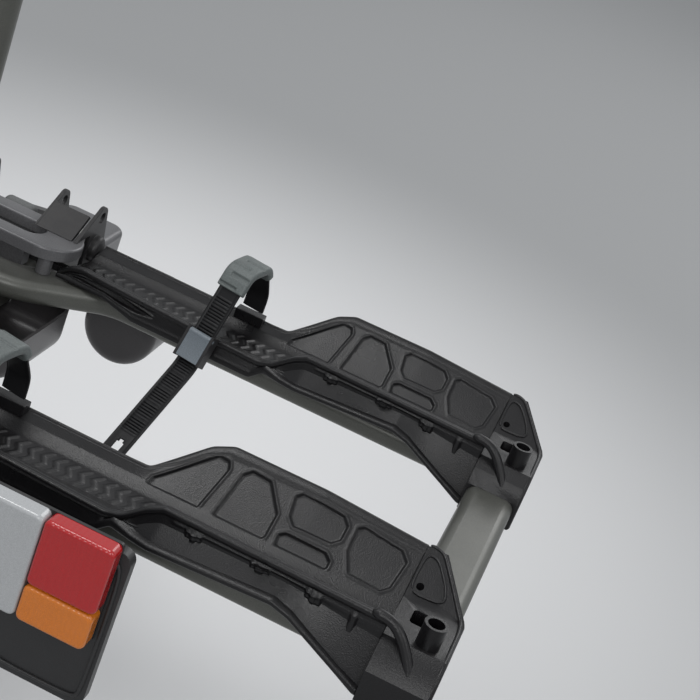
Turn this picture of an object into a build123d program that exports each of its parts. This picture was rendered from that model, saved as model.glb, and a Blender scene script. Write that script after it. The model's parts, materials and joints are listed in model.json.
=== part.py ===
"""Tow bar bike carrier for two bikes.

Millimetres, +Z up, +X to the right side of the car, +Y towards the car.
The origin is the centre of the tow ball that carries the whole thing.
"""
from build123d import *
from math import atan2, cos, radians, sin
import os

os.makedirs("parts", exist_ok=True)

# Fits and small clearances
part_gap = 0.3
pin_play = 0.05
weld_gap = 0.2

# Frame tubes, a flat oval
tube_width = 44
tube_height = 22
tube_radius = 9
tube_wall = 2
tube_z = 74
tube_top = tube_z + tube_height / 2
tube_bottom = tube_z - tube_height / 2

# Overall layout
side_tube_x = 523
front_row_y = -215
bike_spacing = 330
rear_row_y = front_row_y - bike_spacing
bow_depth = 60
bow_half = 48
bow_start = 128
bow_radius = 60

# Wheel trays
tray_inner_x = 79
tray_far_inner_x = 93
tray_notch_y = 12
tray_outer_x = side_tube_x - tube_width / 2 - 2
tray_sheet = 3
groove_floor = tube_top + 5
groove_half = 14
groove_wall_half = 20
near_lip_y = -30
near_lip_tip = groove_floor + 4
near_lip_crest = groove_floor + 15
near_lip_low = groove_floor + 7
near_lip_high = groove_floor + 31
lip_crest_x = 101
lip_step_x = 284
lip_step_length = 41
skirt_y_inner = -37
skirt_y_outer = -47
skirt_y_end = -50
skirt_inner = tube_top + 1
skirt_bow_x = 130
skirt_middle = tube_top - 8
skirt_raised = tube_top + 3
skirt_crest = tube_top + 10
skirt_crest_x = 421
skirt_dive_x = 436
skirt_dive = tube_top + 6
skirt_end_x = 480
skirt_end = tube_bottom + 6
skirt_flare_bottom = tube_bottom - 3
tray_shelf_y = 26
tray_shelf_z = groove_floor + 7
far_lip_y = 40
far_lip_z = 101
wing_y = 70
wing_z = 133
wing_end_z = 127
wing_start_x = 280
wing_peak_x = 322

# Corner mouldings
corner_wall = 4
corner_outer_x = side_tube_x + tube_width / 2 + corner_wall
corner_near = -52
corner_shoulder_y = -44
corner_shoulder = tube_top + 13
corner_crest_y = -32
corner_crest = tube_top + 21
corner_bevel_start = 24
corner_bevel_x = side_tube_x - 11
boss_radius = 9
boss_top = 124
boss_height = 28
boss_bore = 6.5
boss_depth = 20
boss_y = -20
corner_hole_radius = 3
corner_hole_y = 38
corner_hole_x = side_tube_x - 16
pocket_x = side_tube_x - 6
pocket_y = 8
pocket_width = 12
pocket_length = 18

# Spine beam under the cross tubes
beam_width = 60
beam_height = 40
beam_wall = 3
beam_corner = 4
beam_inner_corner = 1.5
beam_top = tube_bottom
beam_z = beam_top - beam_height / 2
beam_bottom = beam_top - beam_height
beam_front_y = -125
beam_rear_y = rear_row_y - 55

# Belly cover under the beam
belly_width = 190
belly_rear_y = -345
belly_front_y = -212
belly_bottom = 5
belly_top = 50
belly_wall = 3
belly_corner = 26
belly_edge = 20
belly_post_radius = 6
belly_post_x = 20
belly_post_inset = 32

# Bridge casting above the front tube
bridge_half_x = 88
bridge_depth = 66
bridge_y = -232
bridge_foot_x = 66
bridge_foot_y = -252
bridge_bottom = 102
bridge_thick = 12
bridge_edge = 2.5
bridge_foot_radius = 7
bridge_tongue_x = 30
slot_half_x = 50
slot_depth = 28

# Head plate and ears
head_half_x = 96
head_front_y = -130
head_rear_y = -192
head_thick = 6
wing_plate_x = 46
wing_plate_past = 20
wing_plate_below = 12
ear_inner_x = 38
ear_outer_x = 79
ear_thick = 4
ear_y = -180
ear_z = 128
ear_hole_radius = 5.5
ear_round = 11
ear_front_y = -206
ear_back_y = -164
ear_step_y = -198.5
ear_round_start = 20
ear_round_turn = 105
ear_nose_y = ear_front_y - 22
ear_web_thick = 8
ear_foot_rise = 8
ear_foot_run = 6
ear_foot_y = ear_back_y + 18
ear_boss_radius = 13
ear_boss_y = ear_y - 2
ear_boss_z = ear_z - 31
ear_boss_length = 10
ear_boss_edge = 4

# Round side covers behind the front tube
cover_x = 124
cover_z = 20
cover_radius = 38
cover_front_y = -168
cover_back_y = -108
cover_wall = 3
cover_edge = 14
cover_post_radius = 8

# Tow ball coupling
ball_radius = 25
socket_radius = ball_radius + 0.2
coupler_half_x = 38
coupler_front_y = 38
coupler_rear_y = -70
coupler_bottom = -20
coupler_top = 36
coupler_corner = 16
coupler_edge = 7
socket_wall_top = 10
socket_mouth_z = -10
socket_mouth_radius = 33
knuckle_half_x = beam_width / 2 - 0.5
tilt_y = -95
tilt_z = 25
knuckle_radius = 16
tilt_pin_radius = 8
pin_head_radius = 13
pin_head_thick = 6
cheek_thick = 6
cheek_outer_x = beam_width / 2 + cheek_thick
cheek_length = 40
cheek_nose_start = -60
cheek_nose_turn = 150
cheek_below = 8
tooth_radius = 21
tooth_cut = 12

# Clamp jaw in the coupling
jaw_half_x = 11.7
jaw_rear_y = -50
jaw_front_y = -10
jaw_bottom = socket_mouth_z
jaw_top = 10
jaw_travel = 3
jaw_post = 6
jaw_post_depth = 8
jaw_end_play = 0.5

# Coupling lever
lever_y = -58
lever_z = 50
lever_pin_radius = 5
lever_hub_radius = 11
lever_half_x = 11
lever_lug_x = 14
lever_lug_thick = 6
lever_pin_past = 8
lever_end_y = -172
lever_end_z = 100
lever_thick = 9
grip_length = 32
grip_radius = 11
grip_edge = 5
lock_radius = 7
lock_depth = 14
lock_stand = 2
key_slot_half = 4
key_slot_gap = 0.6
key_slot_depth = 2
lock_y = -40
lock_z = 20

# Tilt latch, its rod and its pedal
hook_y = -140
hook_z = -8
hook_half_x = 8
hook_pin_radius = 4
hook_tail_z = 15
hook_eye_radius = 9
hook_arm_half = 6
hook_reach = 24
hook_claw_reach = 31
rod_radius = 4
rod_opening = 1.5
guide_half_x = 12
guide_half_y = 5
rod_front_y = hook_y - 6.5
pedal_y = rear_row_y - 42
pedal_z = 43
pedal_pin_radius = 5
pedal_arm_thick = 5
pedal_plate_y = rear_row_y - 150
pedal_plate_z = -12
pedal_web_low = 11
pedal_web_top = 18
rod_rear_y = pedal_y + 13.5
pedal_half_x = 40
pedal_eye_radius = 10
pedal_plate_low = pedal_plate_z - 3
pedal_plate_top = pedal_plate_z + 5
pedal_play = 0.5

# Mast that the frame arms ride on
mast_y = -345
mast_radius = 17.5
mast_wall = 2.5
mast_top = 760
mast_foot = beam_top + 12
knob_z = 118
socket_height = 78
socket_outer = 24
socket_base = 76
socket_corner = 8
cap_height = 6
cap_edge = 3
cap_plug = 15

# Frame arms
arm_front_z = 640
arm_rear_z = 560
arm_front_reach = front_row_y - mast_y
arm_rear_reach = mast_y - rear_row_y
arm_width = 18
arm_height = 30
collar_height = 46
collar_wall = 9
collar_edge = 3
arm_corner = 6
claw_radius = 21
claw_wall = 8
claw_half_x = 17
claw_gap = 2
block_half = 9
block_low = 28
block_high = 24
claw_back_thick = 4
claw_back_high = 58
screw_radius = 4
screw_play = 0.2
knob_radius = 24
knob_height = 22
knob_edge = 2
lobe_count = 6
lobe_cut = 9
lobe_out = 4
jaw_lift = 30

# Wheel straps
strap_width = 22
strap_thick = 3
strap_turn = 12
strap_front_x = 229
strap_rear_x = 150
strap_bend = 12
strap_far_u = 34
strap_foot_z = 107
strap_knee_z = 128
strap_over_far_u = 14
strap_over_near_u = -16
strap_over_z = 162
buckle_top_u = -43
buckle_top_z = 108
buckle_low_u = -60
buckle_low_z = 72
strap_buckle_u = -55
strap_tail_u = -150
strap_tail_z = -2
rear_tail_u = -70
rear_tail_z = 10
pad_width = 28
pad_thick = 9
anchor_width = 28
anchor_depth = 12

# Buckles
buckle_length = 30
buckle_wall = 2.5
buckle_depth = 8
buckle_pin_radius = 1.6
buckle_play = 0.5
lever_eye_wall = 1.6
lever_pivot_a = -11
lever_pivot_b = 5.2
cap_length = 25
lever_cap_thick = 4
tongue_low = tube_top - 1
tongue_high = tube_top + 5
tongue_low_u = -51.1
tongue_high_u = -48.3
tongue_end_u = -35.7
tongue_half = 5

# Light board
board_front_y = rear_row_y - 85
board_thick = 10
board_corner = 9
board_half_x = 330
board_bottom = -10
board_top = 112
foot_bottom = coupler_bottom
lamp_low = 36
lamp_high = 120
lamp_inner_x = 222
lamp_split_x = 268
lamp_split_z = 66
lamp_outer_x = 322
lamp_base = 3
lens_depth = 14
lens_wall = 2.5
lens_corner = 5
lens_edge = 3
lamp_corner = 3
foot_width = 80
notch_half_x = 46
notch_top = 6
plate_half_x = 200
plate_pad_height = 108
plate_pad = 1
ledge_depth = 6
ledge_thick = 4
gland_x = 60
gland_z = 40
gland_radius = 8
gland_length = 12
gland_bore = 3.5
stay_x_centre = 120
stay_width = 24
stay_thick = 6
stay_low = 25

# Screws
screw_head_radius = 5
screw_shank_radius = 2.5
screw_head_height = 2.5
tray_screw_length = 12
tray_screw_xs = (150, 400)
cover_screw_length = 20

pieces = {}


def oval_section(inset=0, mode=Mode.ADD):
    """Flat oval of the frame tube, drawn in by an inset."""
    RectangleRounded(tube_width - 2 * inset, tube_height - 2 * inset, tube_radius - inset, mode=mode)


def mirrored(piece):
    """The same piece for the other side of the car."""
    with BuildPart() as other:
        mirror(piece.part, about=Plane.YZ)
    return other


def box_between(x, y, z, mode=Mode.ADD):
    """Box between low and high values along each axis."""
    middle = ((x[0] + x[1]) / 2, (y[0] + y[1]) / 2, (z[0] + z[1]) / 2)
    with Locations(middle):
        Box(x[1] - x[0], y[1] - y[0], z[1] - z[0], mode=mode)


def between(x, table):
    """Straight-line value at x from a few named stations."""
    for (x0, v0), (x1, v1) in zip(table, table[1:]):
        if x <= x1:
            return v0 + (v1 - v0) * (x - x0) / (x1 - x0)
    return table[-1][1]


# Frame tubes
cross_end_x = side_tube_x - tube_width / 2
bow_points = [
    (-cross_end_x, front_row_y),
    (-bow_start, front_row_y),
    (-bow_half, front_row_y - bow_depth),
    (bow_half, front_row_y - bow_depth),
    (bow_start, front_row_y),
    (cross_end_x, front_row_y),
]


with BuildPart() as front_cross_tube:
    with BuildLine(Plane.XY.offset(tube_z)) as bow_path:
        FilletPolyline(*bow_points, radius=bow_radius)
    for wall, mode in ((0, Mode.ADD), (tube_wall, Mode.SUBTRACT)):
        with BuildSketch(Plane(origin=(-cross_end_x, front_row_y, tube_z), x_dir=(0, 1, 0), z_dir=(1, 0, 0))):
            oval_section(wall)
        sweep(path=bow_path.line, mode=mode)
    with Locations(*[(side * x, front_row_y, tube_top) for side in (-1, 1) for x in tray_screw_xs]):
        Hole(screw_shank_radius + screw_play, 2 * tube_wall)
pieces["front_cross_tube"] = front_cross_tube

with BuildPart() as rear_cross_tube:
    with BuildSketch(Plane(origin=(0, rear_row_y, tube_z), x_dir=(0, 1, 0), z_dir=(1, 0, 0))):
        oval_section()
        oval_section(tube_wall, Mode.SUBTRACT)
    extrude(amount=cross_end_x, both=True)
    with Locations(*[(side * x, rear_row_y, tube_top) for side in (-1, 1) for x in tray_screw_xs]):
        Hole(screw_shank_radius + screw_play, 2 * tube_wall)
pieces["rear_cross_tube"] = rear_cross_tube

tube_past_row = tube_width / 2
side_front_y = front_row_y + tube_past_row
side_rear_y = rear_row_y - tube_past_row
with BuildPart() as side_tube_right:
    with BuildSketch(Plane(origin=(side_tube_x, side_rear_y, tube_z), x_dir=(-1, 0, 0), z_dir=(0, 1, 0))):
        oval_section()
        oval_section(tube_wall, Mode.SUBTRACT)
    extrude(amount=side_front_y - side_rear_y)
pieces["side_tube_right"] = side_tube_right
pieces["side_tube_left"] = mirrored(side_tube_right)


# Wheel trays
near_lip = [
    (tray_inner_x, near_lip_tip),
    (lip_crest_x, near_lip_crest),
    (lip_step_x, near_lip_low),
    (lip_step_x + lip_step_length, near_lip_high),
    (tray_outer_x, near_lip_high),
]
skirt_low = [
    (tray_inner_x, skirt_inner),
    (skirt_bow_x, skirt_inner),
    (skirt_bow_x + 30, skirt_middle),
    (wing_start_x, skirt_middle),
    (wing_start_x + 12, skirt_raised),
    (skirt_crest_x, skirt_crest),
    (skirt_dive_x, skirt_dive),
    (skirt_end_x, skirt_end),
    (tray_outer_x - 2, skirt_flare_bottom),
    (tray_outer_x, skirt_flare_bottom),
]
skirt_out = [
    (tray_inner_x, skirt_y_inner),
    (lip_step_x, skirt_y_inner),
    (lip_step_x + lip_step_length, skirt_y_outer),
    (tray_outer_x, skirt_y_end),
]
wing_out = [
    (tray_inner_x, far_lip_y),
    (wing_start_x, far_lip_y),
    (wing_peak_x, wing_y),
    (tray_outer_x, wing_y),
]
wing_up = [
    (tray_inner_x, far_lip_z),
    (wing_start_x, far_lip_z),
    (wing_peak_x, wing_z),
    (tray_outer_x, wing_end_z),
]
tray_stations = sorted(
    {x for table in (near_lip, skirt_low, skirt_out, wing_out) for x, value in table}
)


def tray_section(x):
    """Closed outline of the moulded sheet across the tray at x."""
    t = tray_sheet
    lip_z = between(x, near_lip)
    skirt_z = between(x, skirt_low)
    skirt_y = between(x, skirt_out)
    wing_far_y = between(x, wing_out)
    wing_far_z = between(x, wing_up)
    return [
        (skirt_y, skirt_z),
        (near_lip_y - 4, lip_z),
        (near_lip_y + 1, lip_z),
        (-groove_wall_half, groove_floor + 3),
        (-groove_half, groove_floor),
        (groove_half, groove_floor),
        (groove_wall_half, groove_floor + 3),
        (tray_shelf_y, tray_shelf_z),
        (wing_far_y, wing_far_z),
        (wing_far_y + t, wing_far_z - 1),
        (wing_far_y + t, wing_far_z - 5),
        (tray_shelf_y + t, tray_shelf_z - t),
        (groove_wall_half + 1, groove_floor + 3 - t - 1),
        (groove_half, tube_top + part_gap),
        (-groove_half, tube_top + part_gap),
        (-groove_wall_half - 1, groove_floor + 3 - t - 1),
        (near_lip_y - 1, lip_z - t - 1),
        (skirt_y + t, skirt_z),
    ]


def make_tray(side, row_y):
    """One wheel tray, on the right for side 1 and the left for side -1."""
    with BuildPart() as tray:
        for x_start, x_end in zip(tray_stations, tray_stations[1:]):
            for x in (x_start, x_end):
                with BuildSketch(Plane.YZ.offset(side * x)):
                    Polygon(*[(row_y + y, z) for y, z in tray_section(x)], align=None)
            loft(ruled=True)
        notch_x = sorted((side * (tray_inner_x - 1), side * tray_far_inner_x))
        notch_y = (row_y + tray_notch_y, row_y + far_lip_y + 5)
        box_between(notch_x, notch_y, (tube_top, far_lip_z + 1), Mode.SUBTRACT)
        with Locations(*[(side * x, row_y, groove_floor) for x in tray_screw_xs]):
            CounterSinkHole(screw_shank_radius + screw_play, screw_head_radius + screw_play)
    return tray


for row_name, row_y in (("front", front_row_y), ("rear", rear_row_y)):
    for side_name, side in (("right", 1), ("left", -1)):
        pieces[f"{row_name}_{side_name}_tray"] = make_tray(side, row_y)


# Corner mouldings
def make_corner(side, row_y, tube_low, tube_high):
    """Moulding over the corner where the side tube runs from tube_low to tube_high."""
    inner_x = tray_outer_x + part_gap
    low = tube_bottom - corner_wall
    boss_x = side_tube_x + 7
    with BuildPart() as corner:
        with BuildSketch(Plane.YZ.offset(inner_x)):
            Polygon(
                (row_y + corner_near, low),
                (row_y + corner_near, tube_top),
                (row_y + corner_shoulder_y, corner_shoulder),
                (row_y + corner_crest_y, corner_crest),
                (row_y - 6, corner_crest - 2),
                (row_y + 26, tube_top + 20),
                (row_y + wing_y, wing_end_z),
                (row_y + wing_y + 4, wing_end_z - 3),
                (row_y + wing_y + 4, wing_end_z - 14),
                (row_y + 46, low),
                align=None,
            )
        extrude(amount=corner_outer_x - inner_x)
        fillet(corner.faces().sort_by(Axis.X)[-1].edges(), 3)
        with BuildSketch(Plane(origin=(side_tube_x, tube_low, tube_z), x_dir=(-1, 0, 0), z_dir=(0, 1, 0))):
            oval_section(-weld_gap)
        extrude(amount=tube_high - tube_low, mode=Mode.SUBTRACT)
        with BuildSketch(Plane.YZ.offset(inner_x)):
            with Locations((row_y, tube_z)):
                oval_section(-weld_gap)
        extrude(amount=tube_width / 2, mode=Mode.SUBTRACT)
        with BuildSketch(Plane.XY.offset(tube_top + corner_wall + 2)):
            with Locations((pocket_x, row_y + pocket_y)):
                RectangleRounded(pocket_width, pocket_length, 3)
        extrude(amount=wing_z, mode=Mode.SUBTRACT)
        with BuildSketch(Plane.XY.offset(low - 1)):
            Polygon(
                (corner_outer_x + 1, row_y + corner_bevel_start),
                (corner_outer_x + 1, row_y + wing_y + 5),
                (corner_bevel_x, row_y + wing_y + 5),
                align=None,
            )
        extrude(amount=wing_z, mode=Mode.SUBTRACT)
        with Locations((boss_x, row_y + boss_y, boss_top)):
            Cylinder(boss_radius, boss_height, align=(Align.CENTER, Align.CENTER, Align.MAX))
            Hole(boss_bore, boss_depth)
        with Locations((corner_hole_x, row_y + corner_hole_y, wing_z)):
            Hole(corner_hole_radius)
    if side < 0:
        return mirrored(corner)
    return corner


beyond = 120
corner_spans = (
    ("front", front_row_y, front_row_y - beyond, side_front_y + part_gap),
    ("rear", rear_row_y, side_rear_y - part_gap, rear_row_y + beyond),
)
for row_name, row_y, tube_low, tube_high in corner_spans:
    for side_name, side in (("right", 1), ("left", -1)):
        pieces[f"{row_name}_{side_name}_corner"] = make_corner(side, row_y, tube_low, tube_high)


# Spine beam and what it carries
with BuildPart() as spine_beam:
    with BuildSketch(Plane(origin=(0, beam_rear_y, beam_z), x_dir=(-1, 0, 0), z_dir=(0, 1, 0))):
        RectangleRounded(beam_width, beam_height, beam_corner)
        RectangleRounded(
            beam_width - 2 * beam_wall, beam_height - 2 * beam_wall, beam_inner_corner, mode=Mode.SUBTRACT
        )
    extrude(amount=beam_front_y - beam_rear_y)
    with Locations(Plane(origin=(0, pedal_y, pedal_z), z_dir=(1, 0, 0))):
        Hole(pedal_pin_radius + pin_play)
pieces["spine_beam"] = spine_beam

with BuildPart() as belly_cover:
    box_between((-belly_width / 2, belly_width / 2), (belly_rear_y, belly_front_y), (belly_bottom, belly_top))
    fillet(belly_cover.edges().filter_by(Axis.Z), belly_corner)
    fillet(belly_cover.faces().sort_by(Axis.Z)[0].edges(), belly_edge)
    offset(amount=-belly_wall, openings=belly_cover.faces().sort_by(Axis.Z)[-1])
    box_between(
        (-beam_width / 2 - part_gap, beam_width / 2 + part_gap),
        (belly_rear_y - 1, belly_front_y + 1),
        (beam_bottom - part_gap, belly_top + 1),
        Mode.SUBTRACT,
    )
    post_ys = (belly_rear_y + belly_post_inset, belly_front_y - belly_post_inset)
    with Locations(*[(x, y, belly_bottom + 1) for x in (-belly_post_x, belly_post_x) for y in post_ys]):
        Cylinder(
            belly_post_radius, beam_bottom - belly_bottom - 1, align=(Align.CENTER, Align.CENTER, Align.MIN)
        )
    with Locations(Plane(origin=(0, belly_rear_y, hook_tail_z), z_dir=(0, 1, 0))):
        Hole(rod_radius + rod_opening)
pieces["belly_cover"] = belly_cover

with BuildPart() as bridge_casting:
    with BuildSketch(Plane.XY.offset(bridge_bottom)):
        with Locations((0, bridge_y)):
            SlotOverall(2 * bridge_half_x, bridge_depth)
            SlotOverall(2 * slot_half_x, slot_depth, mode=Mode.SUBTRACT)
    extrude(amount=bridge_thick)
    fillet(bridge_casting.faces().sort_by(Axis.Z)[-1].edges(), bridge_edge)
    with Locations(*[(x, bridge_foot_y, tube_top) for x in (-bridge_foot_x, bridge_foot_x)]):
        Cylinder(
            bridge_foot_radius, bridge_bottom - tube_top + 1, align=(Align.CENTER, Align.CENTER, Align.MIN)
        )
    tongue_y = (bridge_y + slot_depth / 2 + 1, bridge_y + bridge_depth / 2 - 2)
    box_between((-bridge_tongue_x, bridge_tongue_x), tongue_y, (beam_top, bridge_bottom + 1))
pieces["bridge_casting"] = bridge_casting

with BuildPart() as head_bracket:
    box_between((-head_half_x, head_half_x), (head_rear_y, head_front_y), (beam_top, beam_top + head_thick))
    for side in (-1, 1):
        reach = sorted((side * (cheek_outer_x + 1), side * head_half_x))
        box_between(reach, (head_front_y - 1, cover_back_y + head_thick), (beam_top, beam_top + head_thick))
        wing = sorted((side * wing_plate_x, side * (cover_x + wing_plate_past)))
        wing_height = (cover_z - wing_plate_below, beam_top + head_thick)
        box_between(wing, (cover_back_y, cover_back_y + head_thick), wing_height)
    with Locations(*[Plane(origin=(x, cover_back_y, cover_z), z_dir=(0, 1, 0)) for x in (-cover_x, cover_x)]):
        Hole(screw_shank_radius + screw_play)
pieces["head_bracket"] = head_bracket

ear_base = beam_top + head_thick
ear_step = bridge_bottom + bridge_thick + part_gap
with BuildPart() as right_ear_bracket:
    for x in (ear_inner_x, ear_outer_x):
        with BuildSketch(Plane.YZ.offset(x - ear_thick / 2)):
            with BuildLine():
                round_top = CenterArc((ear_y, ear_z), ear_round, ear_round_start, ear_round_turn)
                Polyline(
                    round_top @ 1,
                    (ear_nose_y, ear_step),
                    (ear_step_y, ear_step),
                    (ear_step_y, ear_base + ear_foot_rise),
                    (ear_step_y + ear_foot_run, ear_base),
                    (ear_foot_y, ear_base),
                    round_top @ 0,
                )
            make_face()
            with Locations((ear_y, ear_z)):
                Circle(ear_hole_radius, mode=Mode.SUBTRACT)
        extrude(amount=ear_thick)
    with BuildSketch(Plane.YZ.offset(ear_inner_x)):
        Polygon(
            (ear_nose_y, ear_step),
            (ear_front_y + 8, ear_z + 4),
            (ear_front_y + 12, ear_z + 1),
            (ear_nose_y + ear_web_thick, ear_step),
            align=None,
        )
    extrude(amount=ear_outer_x - ear_inner_x - ear_thick)
    foot_y = (ear_step_y + ear_foot_run + 2, ear_foot_y - 2)
    box_between((ear_inner_x, ear_outer_x), foot_y, (ear_base, ear_base + ear_thick))
    with BuildSketch(Plane.YZ.offset(ear_outer_x)):
        with Locations((ear_boss_y, ear_boss_z)):
            Circle(ear_boss_radius)
    extrude(amount=ear_boss_length)
    fillet(right_ear_bracket.faces().sort_by(Axis.X)[-1].edges(), ear_boss_edge)
pieces["right_ear_bracket"] = right_ear_bracket
pieces["left_ear_bracket"] = mirrored(right_ear_bracket)

with BuildPart() as right_round_cover:
    with BuildSketch(Plane(origin=(cover_x, cover_back_y, cover_z), z_dir=(0, -1, 0))):
        Circle(cover_radius)
    extrude(amount=cover_back_y - cover_front_y)
    fillet(right_round_cover.faces().sort_by(Axis.Y)[0].edges(), cover_edge)
    offset(amount=-cover_wall, openings=right_round_cover.faces().sort_by(Axis.Y)[-1])
    with BuildSketch(Plane(origin=(cover_x, cover_back_y, cover_z), z_dir=(0, -1, 0))):
        Circle(cover_post_radius)
    extrude(amount=cover_back_y - cover_front_y - 1)
    with Locations(Plane(origin=(cover_x, cover_back_y, cover_z), z_dir=(0, 1, 0))):
        Hole(screw_shank_radius + screw_play, cover_screw_length)
pieces["right_round_cover"] = right_round_cover
pieces["left_round_cover"] = mirrored(right_round_cover)


# Tilt hinge
with BuildPart() as hinge_cheeks:
    for x in (beam_width / 2, -beam_width / 2 - cheek_thick):
        with BuildSketch(Plane.YZ.offset(x)):
            with BuildLine():
                nose = CenterArc((tilt_y, tilt_z), knuckle_radius, cheek_nose_start, cheek_nose_turn)
                Polyline(
                    nose @ 1,
                    (beam_front_y, beam_top - 1),
                    (beam_front_y - cheek_length, beam_top - 1),
                    (beam_front_y - cheek_length, hook_z),
                    (hook_y - cheek_below, hook_z - cheek_below),
                    (hook_y + cheek_below + 2, hook_z - cheek_below),
                    nose @ 0,
                )
            make_face()
            with Locations((tilt_y, tilt_z)):
                Circle(tilt_pin_radius + pin_play, mode=Mode.SUBTRACT)
            with Locations((hook_y, hook_z)):
                Circle(hook_pin_radius + pin_play, mode=Mode.SUBTRACT)
        extrude(amount=cheek_thick)
pieces["hinge_cheeks"] = hinge_cheeks

with BuildPart() as tilt_pin:
    with BuildSketch(Plane.YZ.offset(-cheek_outer_x - 1)):
        with Locations((tilt_y, tilt_z)):
            Circle(tilt_pin_radius)
    extrude(amount=2 * cheek_outer_x + 2)
    for x in (cheek_outer_x + part_gap, -cheek_outer_x - part_gap - pin_head_thick):
        with BuildSketch(Plane.YZ.offset(x)):
            with Locations((tilt_y, tilt_z)):
                RegularPolygon(pin_head_radius, 6)
        extrude(amount=pin_head_thick)
pieces["tilt_pin"] = tilt_pin


# Coupling on the tow ball
with BuildPart() as coupler_body:
    box_between(
        (-coupler_half_x, coupler_half_x), (coupler_rear_y, coupler_front_y), (coupler_bottom, coupler_top)
    )
    fillet(coupler_body.edges().filter_by(Axis.Z), coupler_corner)
    fillet(coupler_body.faces().sort_by(Axis.Z)[-1].edges(), coupler_edge)
    box_between(
        (-knuckle_half_x, knuckle_half_x),
        (tilt_y, coupler_rear_y + 10),
        (tilt_z - knuckle_radius, coupler_top - 2),
    )
    with BuildSketch(Plane.YZ.offset(-knuckle_half_x)):
        with Locations((tilt_y, tilt_z)):
            Circle(knuckle_radius)
    extrude(amount=2 * knuckle_half_x)
    with BuildSketch(Plane.YZ.offset(-hook_half_x)):
        with Locations((tilt_y, tilt_z)):
            Circle(tooth_radius)
        with Locations((tilt_y - tooth_radius, tilt_z - tooth_radius)):
            Rectangle(2 * tooth_radius - tooth_cut, 2 * tooth_radius - tooth_cut, mode=Mode.INTERSECT)
    extrude(amount=2 * hook_half_x)
    for x in (-lever_lug_x - lever_lug_thick, lever_lug_x):
        with BuildSketch(Plane.YZ.offset(x)):
            with Locations((lever_y, lever_z)):
                Circle(lever_hub_radius - 1)
            with Locations((lever_y, (lever_z + coupler_top) / 2 - 4)):
                Rectangle(2 * lever_hub_radius - 2, lever_z - coupler_top + 8)
        extrude(amount=lever_lug_thick)
    with Locations((0, 0, coupler_bottom)):
        Cylinder(
            socket_radius,
            socket_wall_top - coupler_bottom,
            align=(Align.CENTER, Align.CENTER, Align.MIN),
            mode=Mode.SUBTRACT,
        )
    with Locations((0, 0, coupler_bottom)):
        Cone(
            socket_mouth_radius,
            socket_radius,
            socket_mouth_z - coupler_bottom,
            align=(Align.CENTER, Align.CENTER, Align.MIN),
            mode=Mode.SUBTRACT,
        )
    Sphere(socket_radius, mode=Mode.SUBTRACT)
    box_between(
        (-jaw_half_x - part_gap, jaw_half_x + part_gap),
        (jaw_rear_y - jaw_travel - jaw_end_play, jaw_front_y),
        (jaw_bottom - part_gap, jaw_top + part_gap),
        Mode.SUBTRACT,
    )
    box_between(
        (-jaw_post - part_gap, jaw_post + part_gap),
        (jaw_rear_y - jaw_travel - jaw_end_play, jaw_rear_y + jaw_post_depth + part_gap),
        (jaw_top, coupler_top + 1),
        Mode.SUBTRACT,
    )
    with Locations(Plane(origin=(0, tilt_y, tilt_z), z_dir=(1, 0, 0))):
        Hole(tilt_pin_radius + pin_play)
    with Locations(Plane(origin=(0, lever_y, lever_z), z_dir=(1, 0, 0))):
        Hole(lever_pin_radius + pin_play)
    with Locations(Plane(origin=(coupler_half_x, lock_y, lock_z), z_dir=(1, 0, 0))):
        Hole(lock_radius + pin_play, lock_depth)
pieces["coupler_body"] = coupler_body

with BuildPart() as clamp_jaw:
    box_between((-jaw_half_x, jaw_half_x), (jaw_rear_y, jaw_front_y), (jaw_bottom, jaw_top))
    post_z = (jaw_top - 1, lever_z - lever_hub_radius - 1)
    box_between((-jaw_post, jaw_post), (jaw_rear_y, jaw_rear_y + jaw_post_depth), post_z)
    Cylinder(socket_radius + pin_play, 3 * ball_radius, mode=Mode.SUBTRACT)
pieces["clamp_jaw"] = clamp_jaw

with BuildPart() as coupler_lever:
    with BuildSketch(Plane.YZ.offset(-lever_lug_x + 0.5)):
        with Locations((lever_y, lever_z)):
            Circle(lever_hub_radius)
    extrude(amount=2 * lever_lug_x - 1)
    with BuildSketch(Plane.YZ.offset(-lever_half_x)):
        with BuildLine():
            Polyline(
                (lever_y - 4, lever_z - lever_hub_radius + 2),
                (lever_y - 2, lever_z + lever_hub_radius),
                (lever_end_y, lever_end_z + lever_thick / 2),
                (lever_end_y, lever_end_z - lever_thick / 2),
                close=True,
            )
        make_face()
    extrude(amount=2 * lever_half_x)
    with Locations(Plane(origin=(0, lever_y, lever_z), z_dir=(1, 0, 0))):
        Hole(lever_pin_radius + pin_play)
pieces["coupler_lever"] = coupler_lever

with BuildPart() as lever_grip:
    with Locations((0, lever_end_y - grip_radius, lever_end_z)):
        Cylinder(grip_radius, grip_length, rotation=(0, 90, 0))
    fillet(lever_grip.edges().filter_by(GeomType.CIRCLE), grip_edge)
pieces["lever_grip"] = lever_grip

with BuildPart() as lever_pin:
    with BuildSketch(Plane.YZ.offset(-lever_lug_x - lever_pin_past)):
        with Locations((lever_y, lever_z)):
            Circle(lever_pin_radius)
    extrude(amount=2 * (lever_lug_x + lever_pin_past))
pieces["lever_pin"] = lever_pin

with BuildPart() as lock_barrel:
    with Locations(Plane(origin=(coupler_half_x + lock_stand, lock_y, lock_z), z_dir=(-1, 0, 0))):
        Cylinder(lock_radius, lock_depth, align=(Align.CENTER, Align.CENTER, Align.MIN))
    box_between(
        (coupler_half_x + lock_stand - key_slot_depth, coupler_half_x + lock_stand + 1),
        (lock_y - key_slot_half, lock_y + key_slot_half),
        (lock_z - key_slot_gap, lock_z + key_slot_gap),
        Mode.SUBTRACT,
    )
pieces["lock_barrel"] = lock_barrel


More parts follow.
